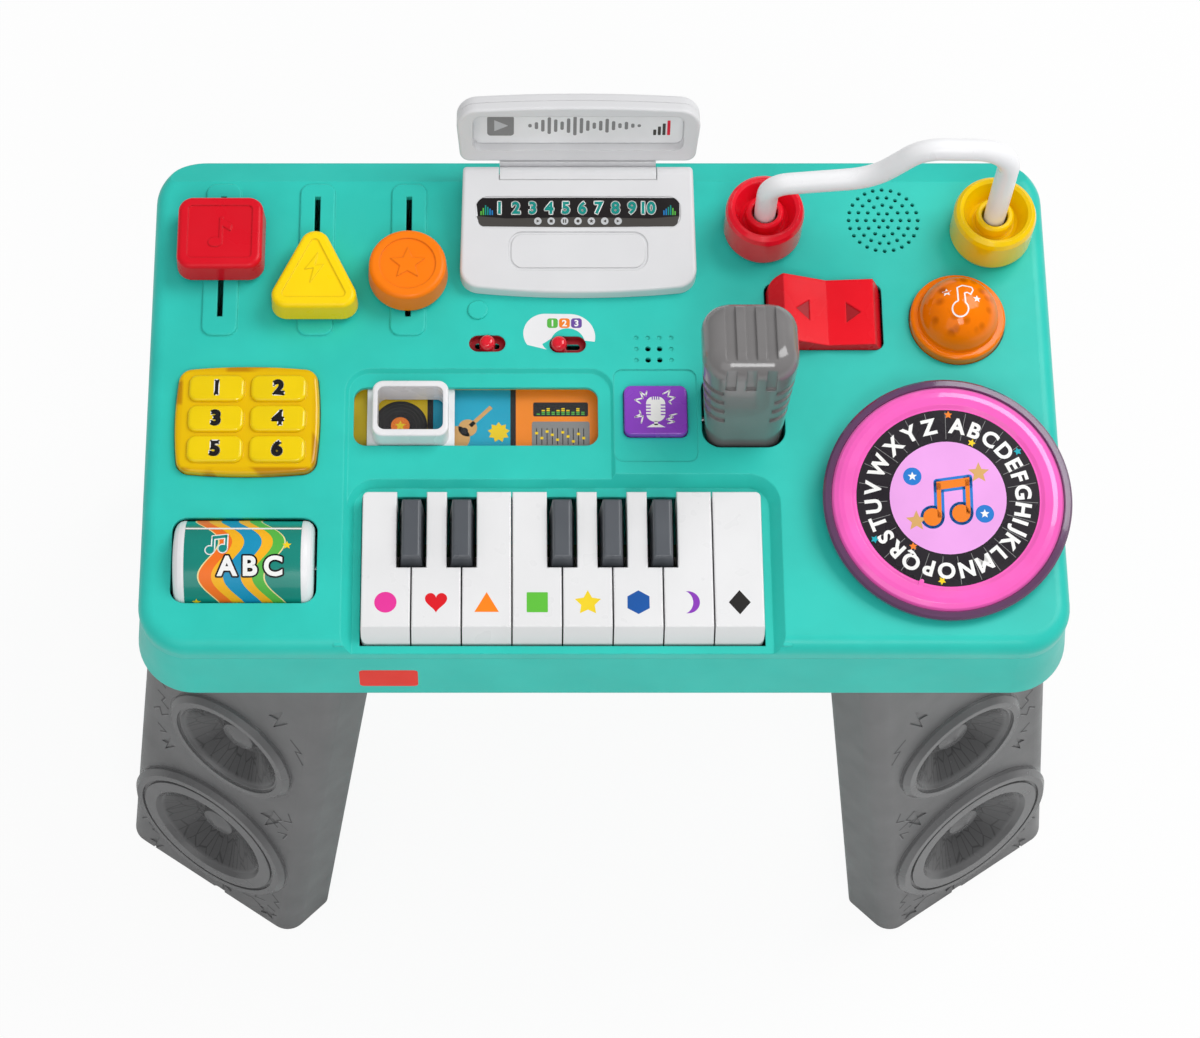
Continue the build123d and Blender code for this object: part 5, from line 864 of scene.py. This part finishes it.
LETTER_RING, LETTER_SIZE, LETTER_WEIGHT = 40.8, 11.8, 0.42
FIRST_LETTER, LAST_LETTER = 9.0, 347.0
KEY_LINES, KEY_LINE_IN, KEY_LINE_OUT, KEY_LINE_HALF = 27, 33.0, 48.6, 0.14
alphabet = "ABCDEFGHIJKLMNOPQRSTUVWXYZ"
half_widths = []
for letter in alphabet:
    across = [x for points in lettering(letter, 0, 0, LETTER_SIZE, LETTER_WEIGHT) for x, _ in points]
    half_widths.append(math.degrees((max(across) - min(across)) / 2 / LETTER_RING))
between = LAST_LETTER - FIRST_LETTER - 2 * sum(half_widths) + half_widths[0] + half_widths[-1]
gap = between / (len(alphabet) - 1)
bearing = FIRST_LETTER - half_widths[0]
letters, key_lines = [], []
for letter, half in zip(alphabet, half_widths):
    angle = math.radians(90 - bearing - half)
    letters.append(lettering(letter, LETTER_RING * math.cos(angle), LETTER_RING * math.sin(angle),
                             LETTER_SIZE, LETTER_WEIGHT, -bearing - half))
    bearing += 2 * half + gap
for index in range(KEY_LINES):
    angle = math.radians(90 - index * 360 / KEY_LINES)
    c, s = math.cos(angle), math.sin(angle)
    key_lines.append([[(reach * c - half * s, reach * s + half * c) for reach, half in (
        (KEY_LINE_IN, KEY_LINE_HALF), (KEY_LINE_IN, -KEY_LINE_HALF), (KEY_LINE_OUT, -KEY_LINE_HALF),
        (KEY_LINE_OUT, KEY_LINE_HALF))]])


def label_star(bearing, reach, size=2.3):
    """Small star on the label, its bearing in degrees from the top."""
    angle = math.radians(90 - bearing)
    return burst(reach * math.cos(angle), reach * math.sin(angle), size, 0.5, 5, 90 - bearing)


big_notes = moved(note_pair, -1.0, -2.0, 2.6)
printed("record_label", "turntable", on_label,
        [(ink("label_black", "#241F26", 0.28), [disc(0, 0, 49.6, 96)]),
         (grey_ink, key_lines), (ink("label_lilac", "#EBA4E8"), [disc(0, 0, 31.6, 72)]),
         (ink("label_sky", "#1B7AD0"),
          on_back(big_notes, 1.6) + [disc(-19.0, 12.0, 5.0), disc(19.5, -9.0, 5.0)]),
         (tan_ink, [burst(17.0, 14.0, 6.0), burst(-17.5, -13.0, 6.0)]), (rust_ink, big_notes),
         (white_ink, letters + [burst(-19.0, 12.0, 2.6), burst(19.5, -9.0, 2.6)]),
         (orange_ink, [label_star(2.0, 46.8), label_star(216.0, 33.6)]),
         (yellow_ink, [label_star(24.0, 33.8), label_star(186.0, 46.6)]),
         (ink("label_turquoise", "#17A8B8"), [label_star(56.0, 46.6), label_star(240.0, 46.6)])])


# ---- Tube and cups -------------------------------------------------------------------------
# A bent white plastic tube, its two feet in collars under the deck. A red and a yellow cup turn
# round the feet.

dress(plastic("tube_white", "#F4F4F6", rough=0.3, grain=0.04, soften=0.0, cloud=0.015), "arch_tube")
dress(plastic("cup_red", "#F0142B", rough=0.16, grain=0.03, soften=0.0006, wear_and_highlight=0.25,
              Specular_IOR_Level=0.35, Coat_Weight=0.3), "red_ring")
dress(plastic("cup_yellow", "#F7CC00", rough=0.16, grain=0.03, soften=0.0006, wear_and_highlight=0.2,
              Specular_IOR_Level=0.35, Coat_Weight=0.3), "yellow_ring")


# ---- Front tag -----------------------------------------------------------------------------
# A small red tag with round corners, pad-printed on the front skirt to the left and left blank.

TAG = (-117.0, 347.0)
SKIRT_TOP, SKIRT_LOW = (-145.0, 371.0), (-150.5, 330.0)


def on_skirt(x, y, h):
    """Flat on the flaring front skirt: y runs up it."""
    z = TAG[1] + y
    share = (SKIRT_TOP[1] - z) / (SKIRT_TOP[1] - SKIRT_LOW[1])
    out = SKIRT_TOP[0] + (SKIRT_LOW[0] - SKIRT_TOP[0]) * share - h
    return Vector(((TAG[0] + x) / 1000, out / 1000, z / 1000))


printed("front_tag", "table", on_skirt, [(ink("tag_red", "#EE2408"), [box(0, 0, 32.0, 18.0, 2.4)])])


# ---- Studio --------------------------------------------------------------------------------
# A plain pale floor, a large soft lamp from behind on the right, two weaker ones from the front,
# and an even pale sky. The camera looks down from the front, a little left of the middle.

FLOOR_HALF = 6
FLOOR_GLOW = 0.92
SKY_LIGHT, SKY_IN_GLOSS, SKY_SEEN = 0.54, 0.14, 0.98
LAMPS = (("key_lamp", (1.05, 0.65, 1.9), 1.1, 19.0), ("front_lamp", (-0.7, -1.7, 1.9), 1.6, 6.0),
         ("low_lamp", (0.2, -1.25, 2.1), 0.6, 8.0))  # name, place, size and power
LIT_POINT = Vector((0, 0, 0.38))

floor_mesh = bpy.data.meshes.new("studio_floor")
corners = [(-FLOOR_HALF, -FLOOR_HALF, 0), (FLOOR_HALF, -FLOOR_HALF, 0), (FLOOR_HALF, FLOOR_HALF, 0),
           (-FLOOR_HALF, FLOOR_HALF, 0)]
floor_mesh.from_pydata(corners, [], [(0, 1, 2, 3)])
floor = bpy.data.objects.new("studio_floor", floor_mesh)
bpy.context.scene.collection.objects.link(floor)
floor_paint = bpy.data.materials.new("floor_paint")
floor_paint.use_nodes = True
tree = floor_paint.node_tree
matt = tree.nodes["Principled BSDF"]
matt.inputs["Base Color"].default_value = (0.93, 0.93, 0.93, 1)
matt.inputs["Roughness"].default_value = 0.9
glow = wire(tree, "ShaderNodeEmission", None, Color=(1, 1, 1, 1), Strength=1.0).outputs[0]
rays = wire(tree, "ShaderNodeLightPath").outputs
seen = product(tree, rays["Is Camera Ray"], FLOOR_GLOW)
both = wire(tree, "ShaderNodeMixShader", None, i0=seen, i1=matt.outputs[0], i2=glow).outputs[0]
tree.links.new(both, tree.nodes["Material Output"].inputs["Surface"])
floor_mesh.materials.append(floor_paint)

world = bpy.data.worlds.new("studio_sky")
bpy.context.scene.world = world
world.use_nodes = True
tree = world.node_tree
sky = tree.nodes["Background"]
sky.inputs["Color"].default_value = (1, 1, 1, 1)
rays = wire(tree, "ShaderNodeLightPath").outputs
soft_level = spread(tree, rays["Is Glossy Ray"], 0.0, 1.0, SKY_LIGHT, SKY_IN_GLOSS)
sky_level = wire(tree, "ShaderNodeMix", {"data_type": "FLOAT"}, i0=rays["Is Camera Ray"], i2=soft_level,
                 i3=SKY_SEEN).outputs[0]
tree.links.new(sky_level, sky.inputs["Strength"])

for name, at, size, power in LAMPS:
    lamp_data = bpy.data.lights.new(name, "AREA")
    lamp_data.size = size
    lamp_data.energy = power
    lamp = bpy.data.objects.new(name, lamp_data)
    bpy.context.scene.collection.objects.link(lamp)
    lamp.location = at
    lamp.rotation_mode = "QUATERNION"
    lamp.rotation_quaternion = (LIT_POINT - Vector(at)).to_track_quat("-Z", "Y")

camera_data = bpy.data.cameras.new("camera")
camera_data.sensor_width = 36.0
camera_data.lens = 99.0
camera_data.shift_x = 0.0814
camera = bpy.data.objects.new("camera", camera_data)
bpy.context.scene.collection.objects.link(camera)
camera.location = (-0.055, -0.7779, 2.0366)
camera.rotation_euler = (math.radians(23.2), 0, 0)
bpy.context.scene.camera = camera
bpy.context.scene.view_settings.view_transform = "Standard"
